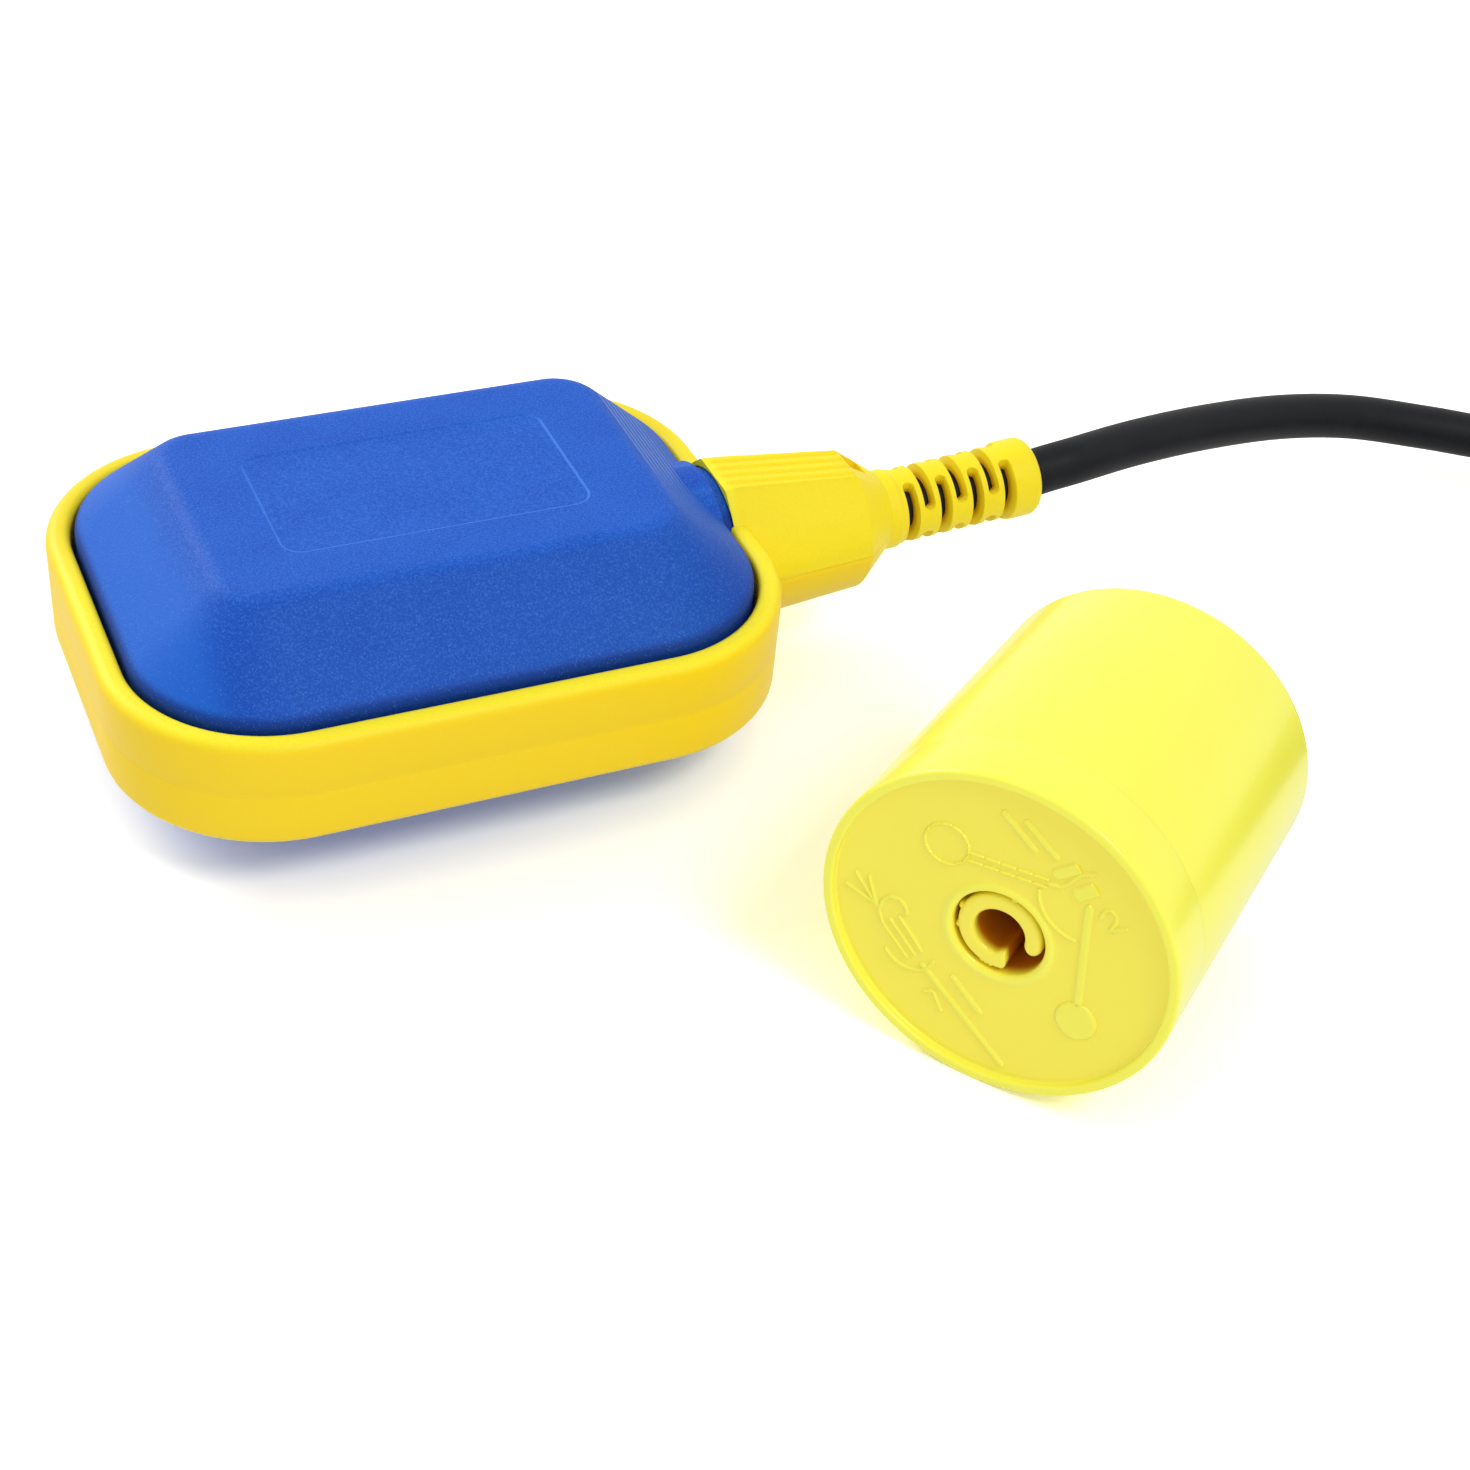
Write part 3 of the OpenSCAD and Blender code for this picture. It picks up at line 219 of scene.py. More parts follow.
def soften(corners, steps=7, closed=True):
    """A polyline (x, y, radius) with each corner replaced by an arc of its radius, tangent to both sides."""
    pts = np.array([c[:2] for c in corners], float)
    out = []
    for i, (p, r) in enumerate(zip(pts, [c[2] for c in corners])):
        if r <= 0 or (not closed and i in (0, len(pts) - 1)):
            out.append(p)
            continue
        u, v = unit(pts[i - 1] - p), unit(pts[(i + 1) % len(pts)] - p)
        half = math.acos(np.clip(u @ v, -1, 1)) / 2
        mid = p + unit(u + v) * r / math.sin(half)
        a, b = p + u * r / math.tan(half) - mid, p + v * r / math.tan(half) - mid
        turn = math.acos(np.clip(unit(a) @ unit(b), -1, 1))
        for t in np.linspace(0, 1, steps + 1):
            out.append(mid + (math.sin((1 - t) * turn) * a + math.sin(t * turn) * b) / math.sin(turn))
    return np.array(out)


CORNERS = ((1, 1), (-1, 1), (-1, -1), (1, -1))       # signs of x and y, anticlockwise


def rounded_rect(hl, hw, r):
    """Rounded rectangles of half length hl, half width hw and corner radius r, given as arrays of n: n rings
    of points, anticlockwise from the corner in +X and +Y. A corner is an arc about its centre and a side is
    divided evenly."""
    hl, hw, r = (np.asarray(v, float).reshape(-1, 1) for v in (hl, hw, r))
    a, t = np.linspace(0, math.pi / 2, 21), np.linspace(0, 1, 17)[1:-1, None]
    arcs = [polar(r, a + k * math.pi / 2) + np.stack([sx * (hl - r), sy * (hw - r)], -1)
            for k, (sx, sy) in enumerate(CORNERS)]
    rings = []
    for this, following in zip(arcs, arcs[1:] + arcs[:1]):
        start, end = this[:, -1:], following[:, :1]
        rings += [this, start + t * (end - start)]
    return np.concatenate(rings, 1)


def lifted(flat, z):
    """Rings of plane points (x, y), shape (n, m, 2), each raised to its own height z."""
    return np.concatenate([flat, np.broadcast_to(np.reshape(z, (-1, 1, 1)), flat.shape[:2] + (1,))], -1)


def along_x(x, flat):
    """Rings of plane points (y, z), shape (n, m, 2), each at its own x."""
    return np.roll(lifted(flat, x), 1, -1)


def tube(path, radius, sides=32):
    """Rings of a round tube along a path: each ring lies across the path's direction, its side vector level.
    radius is one number or one per point, or an array (points, sides)."""
    path = np.asarray(path, float)
    ahead = unit(np.vstack([path[1:], path[-1:]]) - np.vstack([path[:1], path[:-1]]))
    side = unit(np.cross([0, 0, 1], ahead))
    up = np.cross(ahead, side)
    a = turns(sides)[None, :, None]
    r = np.asarray(radius, float)
    r = r.reshape(-1, 1, 1) if r.ndim < 2 else r[:, :, None]
    return path[:, None] + r * (np.sin(a) * side[:, None] - np.cos(a) * up[:, None])


def spline(points, steps):
    """Catmull-Rom curve through the points, with steps samples between two of them."""
    p = np.asarray(points, float)
    p = np.vstack([p[:1], p, p[-1:]])
    u = (np.arange(steps) / steps)[None, :, None]
    a, b, c, d = (p[s:len(p) - 3 + s, None] for s in range(4))
    out = 0.5 * (2 * b + (c - a) * u + (2 * a - 5 * b + 4 * c - d) * u ** 2
                 + (3 * b - a - 3 * c + d) * u ** 3)
    return np.vstack([out.reshape(-1, 3), p[-1:]])


def lathe(profile, sides):
    """Rings of a solid of revolution about the counterweight's axis: profile rows are (distance from the
    front rim, radius), joined end to end."""
    a = turns(sides)[None, :, None]
    z, r = profile[:, 0].reshape(-1, 1, 1), profile[:, 1].reshape(-1, 1, 1)
    return WEIGHT_AT + z * WEIGHT_AXIS + r * (np.cos(a) * FACE_RIGHT + np.sin(a) * FACE_UP)


def on_face(points, depth):
    """Points (right, up, out) on the counterweight's face, seen from the front, at a depth below the rim."""
    p = np.asarray(points, float)
    return (WEIGHT_AT + depth * WEIGHT_AXIS + p[..., :1] * FACE_RIGHT + p[..., 1:2] * FACE_UP
            - p[..., 2:] * WEIGHT_AXIS)


# ---------------- finishes

class Signal:
    """A socket in a node tree. Sums and products of signals and numbers add Math nodes."""

    def __init__(self, nodes, socket):
        self.nodes, self.socket = nodes, socket

    def math(self, operation, *others):
        return self.nodes.signal("ShaderNodeMath", {"operation": operation}, self, *others)

    __add__ = __radd__ = partialmethod(math, "ADD")
    __sub__ = partialmethod(math, "SUBTRACT")
    __mul__ = __rmul__ = partialmethod(math, "MULTIPLY")
    __pow__ = partialmethod(math, "POWER")
    __abs__ = partialmethod(math, "ABSOLUTE")
    sine = partialmethod(math, "SINE")

    def __rsub__(self, other):
        return self * -1 + other

    def over(self, low):
        """How much the signal is above low, and 0 below it."""
        return (self - low).math("MAXIMUM", 0.0)

    def step(self, low, high):
        """0 below low and 1 above high, with a smooth rise between."""
        return self.nodes.signal("ShaderNodeMapRange", {"interpolation_type": "SMOOTHSTEP"},
                                 self, low, high, 0.0, 1.0)


class Nodes:
    """The node tree of a material or a world, emptied first."""

    def __init__(self, owner):
        owner.use_nodes = True
        self.tree = owner.node_tree
        self.tree.nodes.clear()

    def feed(self, socket, value):
        """Links a signal or a socket to an input socket, or sets the input's value."""
        value = value.socket if isinstance(value, Signal) else value
        if isinstance(value, bpy.types.NodeSocket):
            self.tree.links.new(value, socket)
        else:
            socket.default_value = value

    def node(self, kind, settings, *ordered, **named):
        """Adds a node of a kind: its settings first, then values or links for its sockets."""
        node = self.tree.nodes.new(kind)
        for key, value in settings.items():
            setattr(node, key, value)
        for socket, value in zip(node.inputs, ordered):
            self.feed(socket, value)
        for key, value in named.items():
            self.feed(node.inputs[key], value)
        return node

    def signal(self, kind, settings, *ordered, **named):
        return Signal(self, self.node(kind, settings, *ordered, **named).outputs[0])

    def vector(self, operation, *ordered, **named):
        """The vector and the number that come out of a Vector Math node."""
        made = self.node("ShaderNodeVectorMath", {"operation": operation}, *ordered, **named)
        return made.outputs[0], Signal(self, made.outputs[1])

    def rays(self):
        """Two signals: 1 for rays from the camera, and 1 for mirrored or transmitted rays."""
        ray = self.node("ShaderNodeLightPath", {}).outputs
        mirrored = Signal(self, ray["Is Glossy Ray"]).math("MAXIMUM", ray["Is Transmission Ray"])
        return Signal(self, ray["Is Camera Ray"]), mirrored


class Finish(Nodes):
    """A material on a Principled shader, with patterns in millimetres on Object coordinates."""

    def __init__(self, name, colour, roughness, **constants):
        self.material = bpy.data.materials.new(name)
        super().__init__(self.material)
        self.colour = (*colour, 1.0)
        self.shader = self.node("ShaderNodeBsdfPrincipled", {}, **{
            "Base Color": self.colour, "Roughness": roughness, **constants})
        self.output = self.node("ShaderNodeOutputMaterial", {}, Surface=self.shader.outputs[0])
        coords = self.node("ShaderNodeTexCoord", {})
        self.place = self.vector("SCALE", Vector=coords.outputs["Object"], Scale=1 / MM)[0]
        parts = self.node("ShaderNodeSeparateXYZ", {}, Vector=self.place)
        self.x, self.y, self.z = (Signal(self, s) for s in parts.outputs)

    def noise(self, size, detail=2.0, rough=0.5):
        """Noise with features of about size mm, from 0 to 1."""
        return self.signal("ShaderNodeTexNoise", {}, Vector=self.place, Scale=1.0 / size, Detail=detail,
                           Roughness=rough)

    def dots(self, size):
        """Distance to the nearest of scattered points about size mm apart."""
        return self.signal("ShaderNodeTexVoronoi", {}, Vector=self.place, Scale=1.0 / size)

    def tint(self, factor, scale):
        """Base colour going to a scaled copy of the finish's own colour where factor is 1."""
        current = self.shader.inputs["Base Color"]
        base = current.links[0].from_socket if current.is_linked else tuple(current.default_value)
        other = (*[min(c * s, 1.0) for c, s in zip(self.colour, scale)], 1.0)
        mix = self.node("ShaderNodeMix", {"data_type": "RGBA"})
        for index, value in ((0, factor), (6, base), (7, other)):       # the sockets of a colour mix
            self.feed(mix.inputs[index], value)
        self.feed(current, mix.outputs[2])

    def rough(self, signal):
        self.feed(self.shader.inputs["Roughness"], signal)

    def bump(self, height, depth):
        """Surface relief on top of the last one: height from 0 to 1 stands for depth mm."""
        last = self.shader.inputs["Normal"]
        values = {"Height": height, "Distance": depth * MM, "Strength": 1.0}
        if last.is_linked:
            values["Normal"] = last.links[0].from_socket
        self.feed(last, self.node("ShaderNodeBump", {}, **values).outputs[0])


def shell_finish(name):
    """Blue moulding: fine eroded grain with painted glints, cutter lines beside the gland with painted
    highlights on them and painted shade between, a painted highlight round the label panel, painted shade in
    the corners, on the front slope and at the foot, and a painted lighter left slope."""
    f = Finish(name, bpy.context.scene.switch_paints.shell, 0.48, **{"Specular IOR Level": 0.16})
    flat = abs(f.z - MID).step(MID - 0.7, MID - 0.1)
    grain, fine, broad = f.noise(0.5, 4.0, 0.65), f.noise(0.16, 2.0), f.noise(9.0, 3.0)
    speck = f.noise(0.33, 2.0, 0.7)
    lines = ((f.z * 6.0 + broad * 1.5).sine() * 0.5 + 0.5) ** 2.0
    corner = abs(f.x).step(28.0, 48.0) * abs(f.y).step(12.0, 32.0) * (1 - flat)
    front = (1 - f.y.step(-26.0, -14.0)) * (1 - flat)
    cut = (f.x.step(34.5, 35.5) * (1 - f.y.step(23.0, 29.0)) * f.y.step(-12.0, 0.0)
           * (1 - f.z.step(42.6, 43.1)) * f.z.step(33.5, 36.5))
    foot = 1 - abs(f.z - MID).step(FOOT_UP - 0.1, FOOT_UP + 1.2)
    glint = (1 - f.dots(0.36).step(0.06, 0.3)) * f.noise(1.2, 2.0).step(0.4, 0.62) * (1 - flat * 0.6)
    # the label's outline is its corner radius outside a rectangle
    hl, hw, radius = LABEL
    out = (abs(f.x).over(hl - radius) ** 2.0 + abs(f.y).over(hw - radius) ** 2.0) ** 0.5
    # painted highlight along the label panel's edge, weakened on its far side
    edge = (1 - abs(out - radius).step(0.1, 0.3)) * flat * f.z.step(MID, MID + 1)
    edge = edge * (1 - f.y.step(9.0, 12.5) * 0.7)
    # painted shade: darker in the four corners of the slopes, on the front slope and between the cutter lines
    f.tint(cut * (1 - lines) * 0.8 + corner * 0.95 + front * 0.3, (0.26, 0.46, 0.78))
    f.tint(broad.step(0.35, 0.7) * 0.35 + (1 - speck.step(0.36, 0.52)) * 0.8, (0.5, 0.7, 0.84))
    f.tint(speck.step(0.5, 0.66) * 0.4 + edge * 0.75, (3.2, 1.9, 1.3))
    # painted light: the left slope lighter and greener
    f.tint((1 - f.x.step(-41.0, -35.0)) * (1 - flat) * 0.9, (0.94, 1.2, 1.12))
    # painted shade on the foot, where the shell meets the band's lip
    f.tint(foot * 0.85, (0.25, 0.34, 0.5))
    # painted highlights: the scattered glints and the cutter lines
    f.tint(glint * 0.8 + lines * cut * 0.6, (4.6, 2.5, 1.35))
    f.rough(0.46 + grain * 0.16 - glint * 0.14 - cut * lines * 0.1)
    f.bump(grain * (1 - flat * 0.6) + fine * 0.3, 0.07)
    f.bump(lines * cut, 0.05)
    return f


def band_finish(name):
    """Warm yellow, slightly soft moulding with a satin skin and a fine, cloudy tone. Painted light and shade:
    paler, greener lips, a more orange wall, the far lip and the neck below its parting darker, and painted
    shade, brown-orange, deep in the bend relief's slots and faintly in the notch."""
    f = Finish(name, bpy.context.scene.switch_paints.band, 0.42, **{
        "Specular IOR Level": 0.25, "Subsurface Weight": 0.08, "Subsurface Scale": 0.002,
        "Subsurface Radius": (1.0, 0.7, 0.05)})
    broad, fine = f.noise(14.0, 3.0), f.noise(0.35, 3.0, 0.6)
    band = 1 - f.x.step(50.0, 51.5)
    lips = abs(f.z - MID).step(7.6, 8.9)
    # low: the neck below its parting, darkened as painted shade
    low = (1 - f.z.step(MID - 0.5, MID - 0.2)) * f.x.step(52.5, 53.5) * (1 - f.x.step(74.0, 78.0))
    rise = f.z - MID - (f.x - NECK_END) * math.tan(LIFT)
    deep = (1 - ((f.y * f.y + rise * rise) ** 0.5).step(4.0, 5.4)) * f.x.step(80.0, 81.0)
    # painted light: paler, greener lip tops, with a broad cloudy tone, and below a more orange band wall
    f.tint(band * lips * 0.8 + broad.step(0.35, 0.7) * 0.15, (1.0, 1.08, 1.6))
    f.tint(band * (1 - lips) + low * 0.9, (0.99, 0.87, 0.85))
    # painted shade: the far lip darker
    f.tint(band * lips * f.y.step(0.0, 25.0) * 0.8, (0.86, 0.85, 1.0))
    f.tint((1 - fine.step(0.34, 0.5)) * 0.35, (0.93, 0.88, 0.7))
    notch = (f.x.step(END_FLAT, END_FLAT + 0.3) * (1 - f.x.step(77.0, 77.5))
             * (1 - abs(f.y - NOTCH_Y).step(2.05, 2.2)))
    # painted shade, brown-orange, deep in the bend relief's slots and faintly in the notch
    f.tint(deep * 0.9 + notch * f.z.step(MID + 5, MID + 6) * 0.2, (0.75, 0.46, 0.2))
    f.rough(0.36 + broad * 0.12 + fine * 0.08)
    f.bump(fine, 0.014)
    f.bump(f.noise(4.0, 3.0), 0.06)
    return f


def weight_finish(name, deep, near, far, reach):
    """Lemon yellow gloss moulding with faint flow marks. Painted light and shade: the sunk face warmer and
    darker, its raised marks left paler as a painted highlight, and painted shade, scaled by the colour deep,
    inside the bore, out to the radius reach, from near to far mm behind the rim."""
    f = Finish(name, bpy.context.scene.switch_paints.weight, 0.26, **{
        "Coat Weight": 0.25, "Coat Roughness": 0.12, "Subsurface Weight": 0.08,
        "Subsurface Scale": 0.002, "Subsurface Radius": (1.0, 0.85, 0.1)})
    from_rim = f.vector("SUBTRACT", f.place, tuple(WEIGHT_AT))[0]
    along = f.vector("DOT_PRODUCT", from_rim, tuple(WEIGHT_AXIS))[1]
    away = f.vector("LENGTH", from_rim)[1]
    off = (away ** 2.0 - along ** 2.0).over(0.0) ** 0.5
    face = (1 - off.step(24.1, 24.5)) * (1 - along.step(3.0, 4.0))
    broad, fine = f.noise(18.0, 3.0), f.noise(0.5, 3.0, 0.6)
    f.tint(broad.step(0.3, 0.75) * 0.4, (1.0, 0.97, 0.8))
    # painted shade on the sunk face, warmer and darker; the raised marks, nearer the rim, stay paler as a
    # painted highlight
    f.tint(face * (along.step(0.95, 1.2) * 0.85 + 0.15), (1.03, 0.93, 0.75))
    # painted shade deep in the bore, out to the radius reach
    f.tint(along.step(near, far) * (1 - off.step(reach - 0.3, reach)), deep)
    f.rough(0.22 + broad * 0.12 + fine * 0.06)
    f.bump(f.noise(7.0, 2.0), 0.06)
    f.bump(fine, 0.006)
    return f


def jacket_finish(name):
    """Black cable jacket: satin, with a fine grain and duller patches."""
    f = Finish(name, bpy.context.scene.switch_paints.cable, 0.45, **{"Specular IOR Level": 0.16})
    fine, patch = f.noise(0.3, 3.0, 0.6), f.noise(6.0, 3.0)
    f.tint(patch.step(0.4, 0.75) * 0.5, (1.9, 1.9, 2.0))
    f.rough(0.4 + patch * 0.14 + fine * 0.08)
    f.bump(fine, 0.02)
    f.bump(patch, 0.05)
    return f


def moulded(name, colour, roughness, grain=0.02):
    """A plain moulding: fine grain, broad cloudiness and a little change of gloss."""
    f = Finish(name, colour, roughness)
    broad, fine = f.noise(5.0, 3.0), f.noise(0.3, 3.0, 0.6)
    f.tint(broad * 0.5, (0.82, 0.82, 0.82))
    f.rough(roughness - 0.08 + broad * 0.1 + fine * 0.1)
    f.bump(fine, grain)
    return f


def metal(name, colour, roughness, grain=0.01, size=0.25):
    """Metal with a fine or a cast relief, grain mm high with features of size mm, and duller patches."""
    f = Finish(name, colour, roughness, Metallic=1.0)
    broad, fine = f.noise(3.0, 3.0), f.noise(size, 3.0, 0.6)
    f.tint(broad * 0.6, (0.8, 0.8, 0.82))
    f.rough(roughness - 0.06 + broad * 0.14 + fine * 0.1)
    f.bump(fine, grain)
    return f


FINISHES = {
    "blue_shell": (shell_finish,),
    "yellow_soft": (band_finish,),
    # the colour after weight_finish is the painted shade deep in the bore and round the clip, then near, far
    # and reach
    "lemon_gloss": (weight_finish, (0.7, 0.22, 0.02), 1.3, 3.6, 7.1),
    "lemon_clip": (weight_finish, (0.6, 0.2, 0.02), 1.6, 3.2, 5.9),
    "black_jacket": (jacket_finish,),
    "black_seal": (moulded, (0.02, 0.02, 0.02), 0.62),
    "steel": (metal, (0.6, 0.6, 0.6), 0.32),
    "white_case": (moulded, (0.78, 0.78, 0.75), 0.45),
    "grey_race": (moulded, (0.45, 0.45, 0.45), 0.4),
    "polished_steel": (metal, (0.74, 0.74, 0.75), 0.12, 0.002),
    "red_switch": (moulded, (0.35, 0.035, 0.03), 0.42),
    "ivory": (moulded, (0.72, 0.67, 0.52), 0.4),
    "contact_brass": (metal, (0.76, 0.56, 0.24), 0.26),
    "brown_core": (moulded, (0.16, 0.06, 0.025), 0.4, 0.01),
    "black_core": (moulded, (0.015, 0.015, 0.016), 0.4, 0.01),
    "blue_core": (moulded, (0.03, 0.14, 0.45), 0.4, 0.01),
    "tin": (metal, (0.7, 0.7, 0.68), 0.35),
    "white_nylon": (moulded, (0.75, 0.75, 0.72), 0.4),
    "copper": (metal, (0.78, 0.38, 0.22), 0.28, 0.004),
    "iron": (metal, (0.2, 0.2, 0.2), 0.6, 0.08, 0.8),
}
made = {}


def finish(name):
    """The material of that name, made once."""
    if name not in made:
        build, *values = FINISHES[name]
        made[name] = build(name, *values).material
    return made[name]


# ---------------- cable

# points that the run passes, chosen one by one
RUN = [RELIEF_END, RELIEF_END + 3 * RELIEF_DIR + [0, 0, 0.25],
       RELIEF_END + 8 * RELIEF_DIR + [0, 0, 0.5], [132, 2.8, 23.8], [149, 6, 22], [167, 8.1, 19.7],
       [183, 7.4, 17.4], [198, 2.9, 15.1], [212, -3.6, 13.7]]
RUN_STEP = 7.8        # distance of the run's last points before the coil
COIL_TURNS, COIL_R, COIL_PITCH = 6, 59.0, 8.3
COIL_IN = 61.5        # angle, in degrees, at which the run meets the coil
COIL_AT = (232.0, -81.5)
COIL_FLOOR = 1.1 + 0.3 + 3.9       # a tie's thickness, its clearance and the cable's radius
TAIL, CORE_TAIL, STRIP = 12.0, 42.0, 7.0
FAN = 9.0             # degrees between two bare cores
CORE_REST = 1.25      # height of a bare core's centreline on the floor


def coil_point(t):
    """The coil after t turns, clockwise from above: the radius falls by one pitch a turn to the middle turn
    and grows again, and the height drops one pitch in the half turn round the middle."""
    t = np.asarray(t, float)
    a = np.radians(COIL_IN - 360 * t)
    r = COIL_R - COIL_PITCH * (COIL_TURNS / 2 - np.abs(t - COIL_TURNS / 2))
    drop = np.clip((t - COIL_TURNS / 2) * 2 + 0.5, 0, 1)
    height = COIL_FLOOR + COIL_PITCH * (1 - drop)
    return np.concatenate([COIL_AT + polar(r, a), height[..., None]], -1)


COIL_START, COIL_END = coil_point(0), coil_point(COIL_TURNS)
COIL_IN_DIR = unit(coil_point(0.01) - COIL_START)
OUT = unit((COIL_END - coil_point(COIL_TURNS - 0.01)) * [1, 1, 0])
TAIL_AT = COIL_END + TAIL * OUT


def cable_path():
    """The free cable's centreline in mm: the run's spline, then the coil, then its straight end."""
    run = spline(RUN + [COIL_START - k * RUN_STEP * COIL_IN_DIR for k in (4, 3, 2, 1)], 6)
    coil = coil_point(np.arange(0, COIL_TURNS * 48 + 1) / 48)
    return np.vstack([run, coil, [TAIL_AT - 6 * OUT, TAIL_AT]])


def core_points(k):
    """Centreline of a bare core in the fan at the cable's end, k from -1 to 1, and its last direction."""
    side = np.array([-OUT[1], OUT[0], 0])
    at = TAIL_AT + k * 1.4 * side + np.array([0, 0, 1.3 if k == 0 else -1])
    low = np.array([0, 0, CORE_REST - at[2]])
    a = math.atan2(OUT[1], OUT[0]) + math.radians(k * FAN)
    way = np.array([math.cos(a), math.sin(a), 0])
    down = at + 24 * OUT + 5 * k * side + low
    return [at, at + 2 * OUT, at + 5 * OUT, at + 14 * OUT + 2.6 * k * side + 0.5 * low,
            down, down + (CORE_TAIL - 24) * way], way


class SWITCH_OT_cable(bpy.types.Operator):
    """Make the free cable with its coil, its held length in the neck and its bare cores"""
    bl_idname = "switch.cable"
    bl_label = "Cable"

    def execute(self, context):
        sizes = context.scene.switch_cable
        radius, core, copper = (d / MM / 2 for d in (sizes.diameter, sizes.core, sizes.copper))
        path = cable_path()
        cable = piece("cable", [skin(tube(path, radius))], "float", "black_jacket",
                      ["cable_run", "cable_coil"])
        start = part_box("cable_lead")[0][0] / MM
        held = [[start, 0, MID], [NECK_END - 8, 0, MID], [NECK_END - 3, 0, MID],
                [NECK_END + 3, 0, MID + 3 * math.sin(LIFT)], [NECK_END, 0, MID] + 8 * RELIEF_DIR, RELIEF_END]
        piece("held_cable", [skin(tube(held, radius, 48))], "float", "black_jacket", ["cable_lead"])
        tails, strands = [], []
        # seven strands: the outline is a circle with seven lobes that turn along the wire
        reach = np.linspace(-0.5, STRIP, 40)[:, None]
        a = turns(42)
        lobes = copper * (0.8 + 0.2 * np.abs(np.cos(3.5 * (a + reach * 0.55))))
        for k, colour in ((-1, "brown"), (0, "black"), (1, "blue")):
            points, way = core_points(k)
            tails.append(piece("end_core_" + colour, [skin(tube(spline(points, 8), core, 20))], "float",
                               colour + "_core", ["tail_" + colour]))
            strands.append(skin(tube(points[-1] + reach * way, lobes, 42)))
        tails.append(piece("strands", strands, "float", "copper", ["tail_copper"]))
        return {"FINISHED"}


# ---------------- shells

SHELL = (48.1, 36.1, 20.6)       # half length, half width and corner radius at the foot
PLATEAU = (34.8, 22.2, 6.0)
LABEL = (23.7, 13.0, 3.0)
SLOPE_RUN = SHELL[0] - PLATEAU[0]
SHELL_WALL = 2.4
FOOT_UP = 9.7                    # height of the foot above the parting plane
FLANGE_OUT, FLANGE_UP = 1.9, 2.8
HUMP_R, HUMP_END = 13.7, 47.7
BOSS_R, BOSS_END = 12.3, 50.25


def shell_rings(run, z):
    """Rings of the shell's outline, run mm in from its foot: half length, half width and corner radius fall
    in a straight line from the foot's to the plateau's."""
    t = np.maximum(run, 0) / SLOPE_RUN
    out = np.minimum(run, 0)
    return lifted(rounded_rect(*[s + t * (p - s) - out for s, p in zip(SHELL, PLATEAU)]), z)


def half_shell(brow, shoulder, label):
    """Rings of a half shell above the parting plane: inner ceiling and wall, flange, step, slope, brow,
    plateau and a panel sunk by label mm."""
    ceiling = MID - SHELL_WALL
    inner = soften([(SHELL_WALL, 0, 0), (SHELL_WALL, 8.6, 2), (SLOPE_RUN + 0.9, ceiling, 3),
                    (SLOPE_RUN + 2.7, ceiling, 0)], 5, False)[::-1]
    outer = soften([(-FLANGE_OUT, 0, 0), (-FLANGE_OUT, FLANGE_UP, 0.4), (0, FLANGE_UP, 0.2),
                    (0, FOOT_UP, shoulder), (SLOPE_RUN, MID, brow), (SLOPE_RUN + 3, MID, 0)], 10, False)
    middle = lifted(rounded_rect([0.5, 15], [0.3, 9], [0.05, 2]), ceiling)
    grow = np.array([0.25, 0.06, -0.06, -0.25, -6.0, -12.9] if label else [-5.0, -12.9])
    sunk = label * np.array([0, 0.1, 0.9, 1, 1, 1]) if label else np.zeros(2)
    hl, hw, r = (v + grow for v in LABEL)
    top = lifted(rounded_rect(hl, hw, np.maximum(r, 0.05)), MID - sunk)
    return np.concatenate([middle, shell_rings(*inner.T), shell_rings(*outer.T), top])


def hump():
    """Half a round hump along X with a rounded end, and the narrower boss beyond it: each ring is a half
    circle closed by its chord."""
    a = np.linspace(0, math.pi, 65)
    x, r = soften([(38, HUMP_R, 0), (HUMP_END, HUMP_R, 0.55), (HUMP_END + 0.25, BOSS_R, 0.2),
                   (BOSS_END, BOSS_R, 0.8), (BOSS_END, 5, 0)], 6, False).T
    ring = np.vstack([polar(1, a), np.stack([np.linspace(-1, 1, 14)[1:-1], np.zeros(12)], -1)])
    return along_x(x, r[:, None, None] * ring)


class SWITCH_OT_shells(bpy.types.Operator):
    """Make the two half shells with their gland humps"""
    bl_idname = "switch.shells"
    bl_label = "Shells"

    def execute(self, context):
        sizes = context.scene.switch_sizes
        for name, flip, label in (("upper", 1, sizes.label_depth / MM), ("lower", -1, 0)):
            skins = [skin(rings * [1, 1, flip] + [0, 0, MID])
                     for rings in (half_shell(sizes.brow / MM, sizes.shoulder / MM, label), hump())]
            piece(name + "_half_shell", skins, "float", "blue_shell", [name + "_shell"], 50)
        return {"FINISHED"}


# ---------------- band, neck and bend relief

ARCH_R = 12.6          # pocket in the neck's end, round the boss
LIP_GAP_R = 12.5       # clearance of the band round the boss
BAND_HALF = 9.0        # half height of the band
NECK_START, NECK_R = 50.6, 13.8
END_FLAT = 73.9        # where the neck's ridges end and its cone starts
CONE_LONG, CONE_R = 6.3, 6.6
NOTCH_Y = 1.4          # middle of the notch beside the neck's cone
GROOVE_PITCH = 2.1     # from one of the neck's grooves to the next
SLOTS, SLOT_PITCH, SLOT_FIRST, SLOT_FLOOR = 7, 3.0, 5.5, 3.7


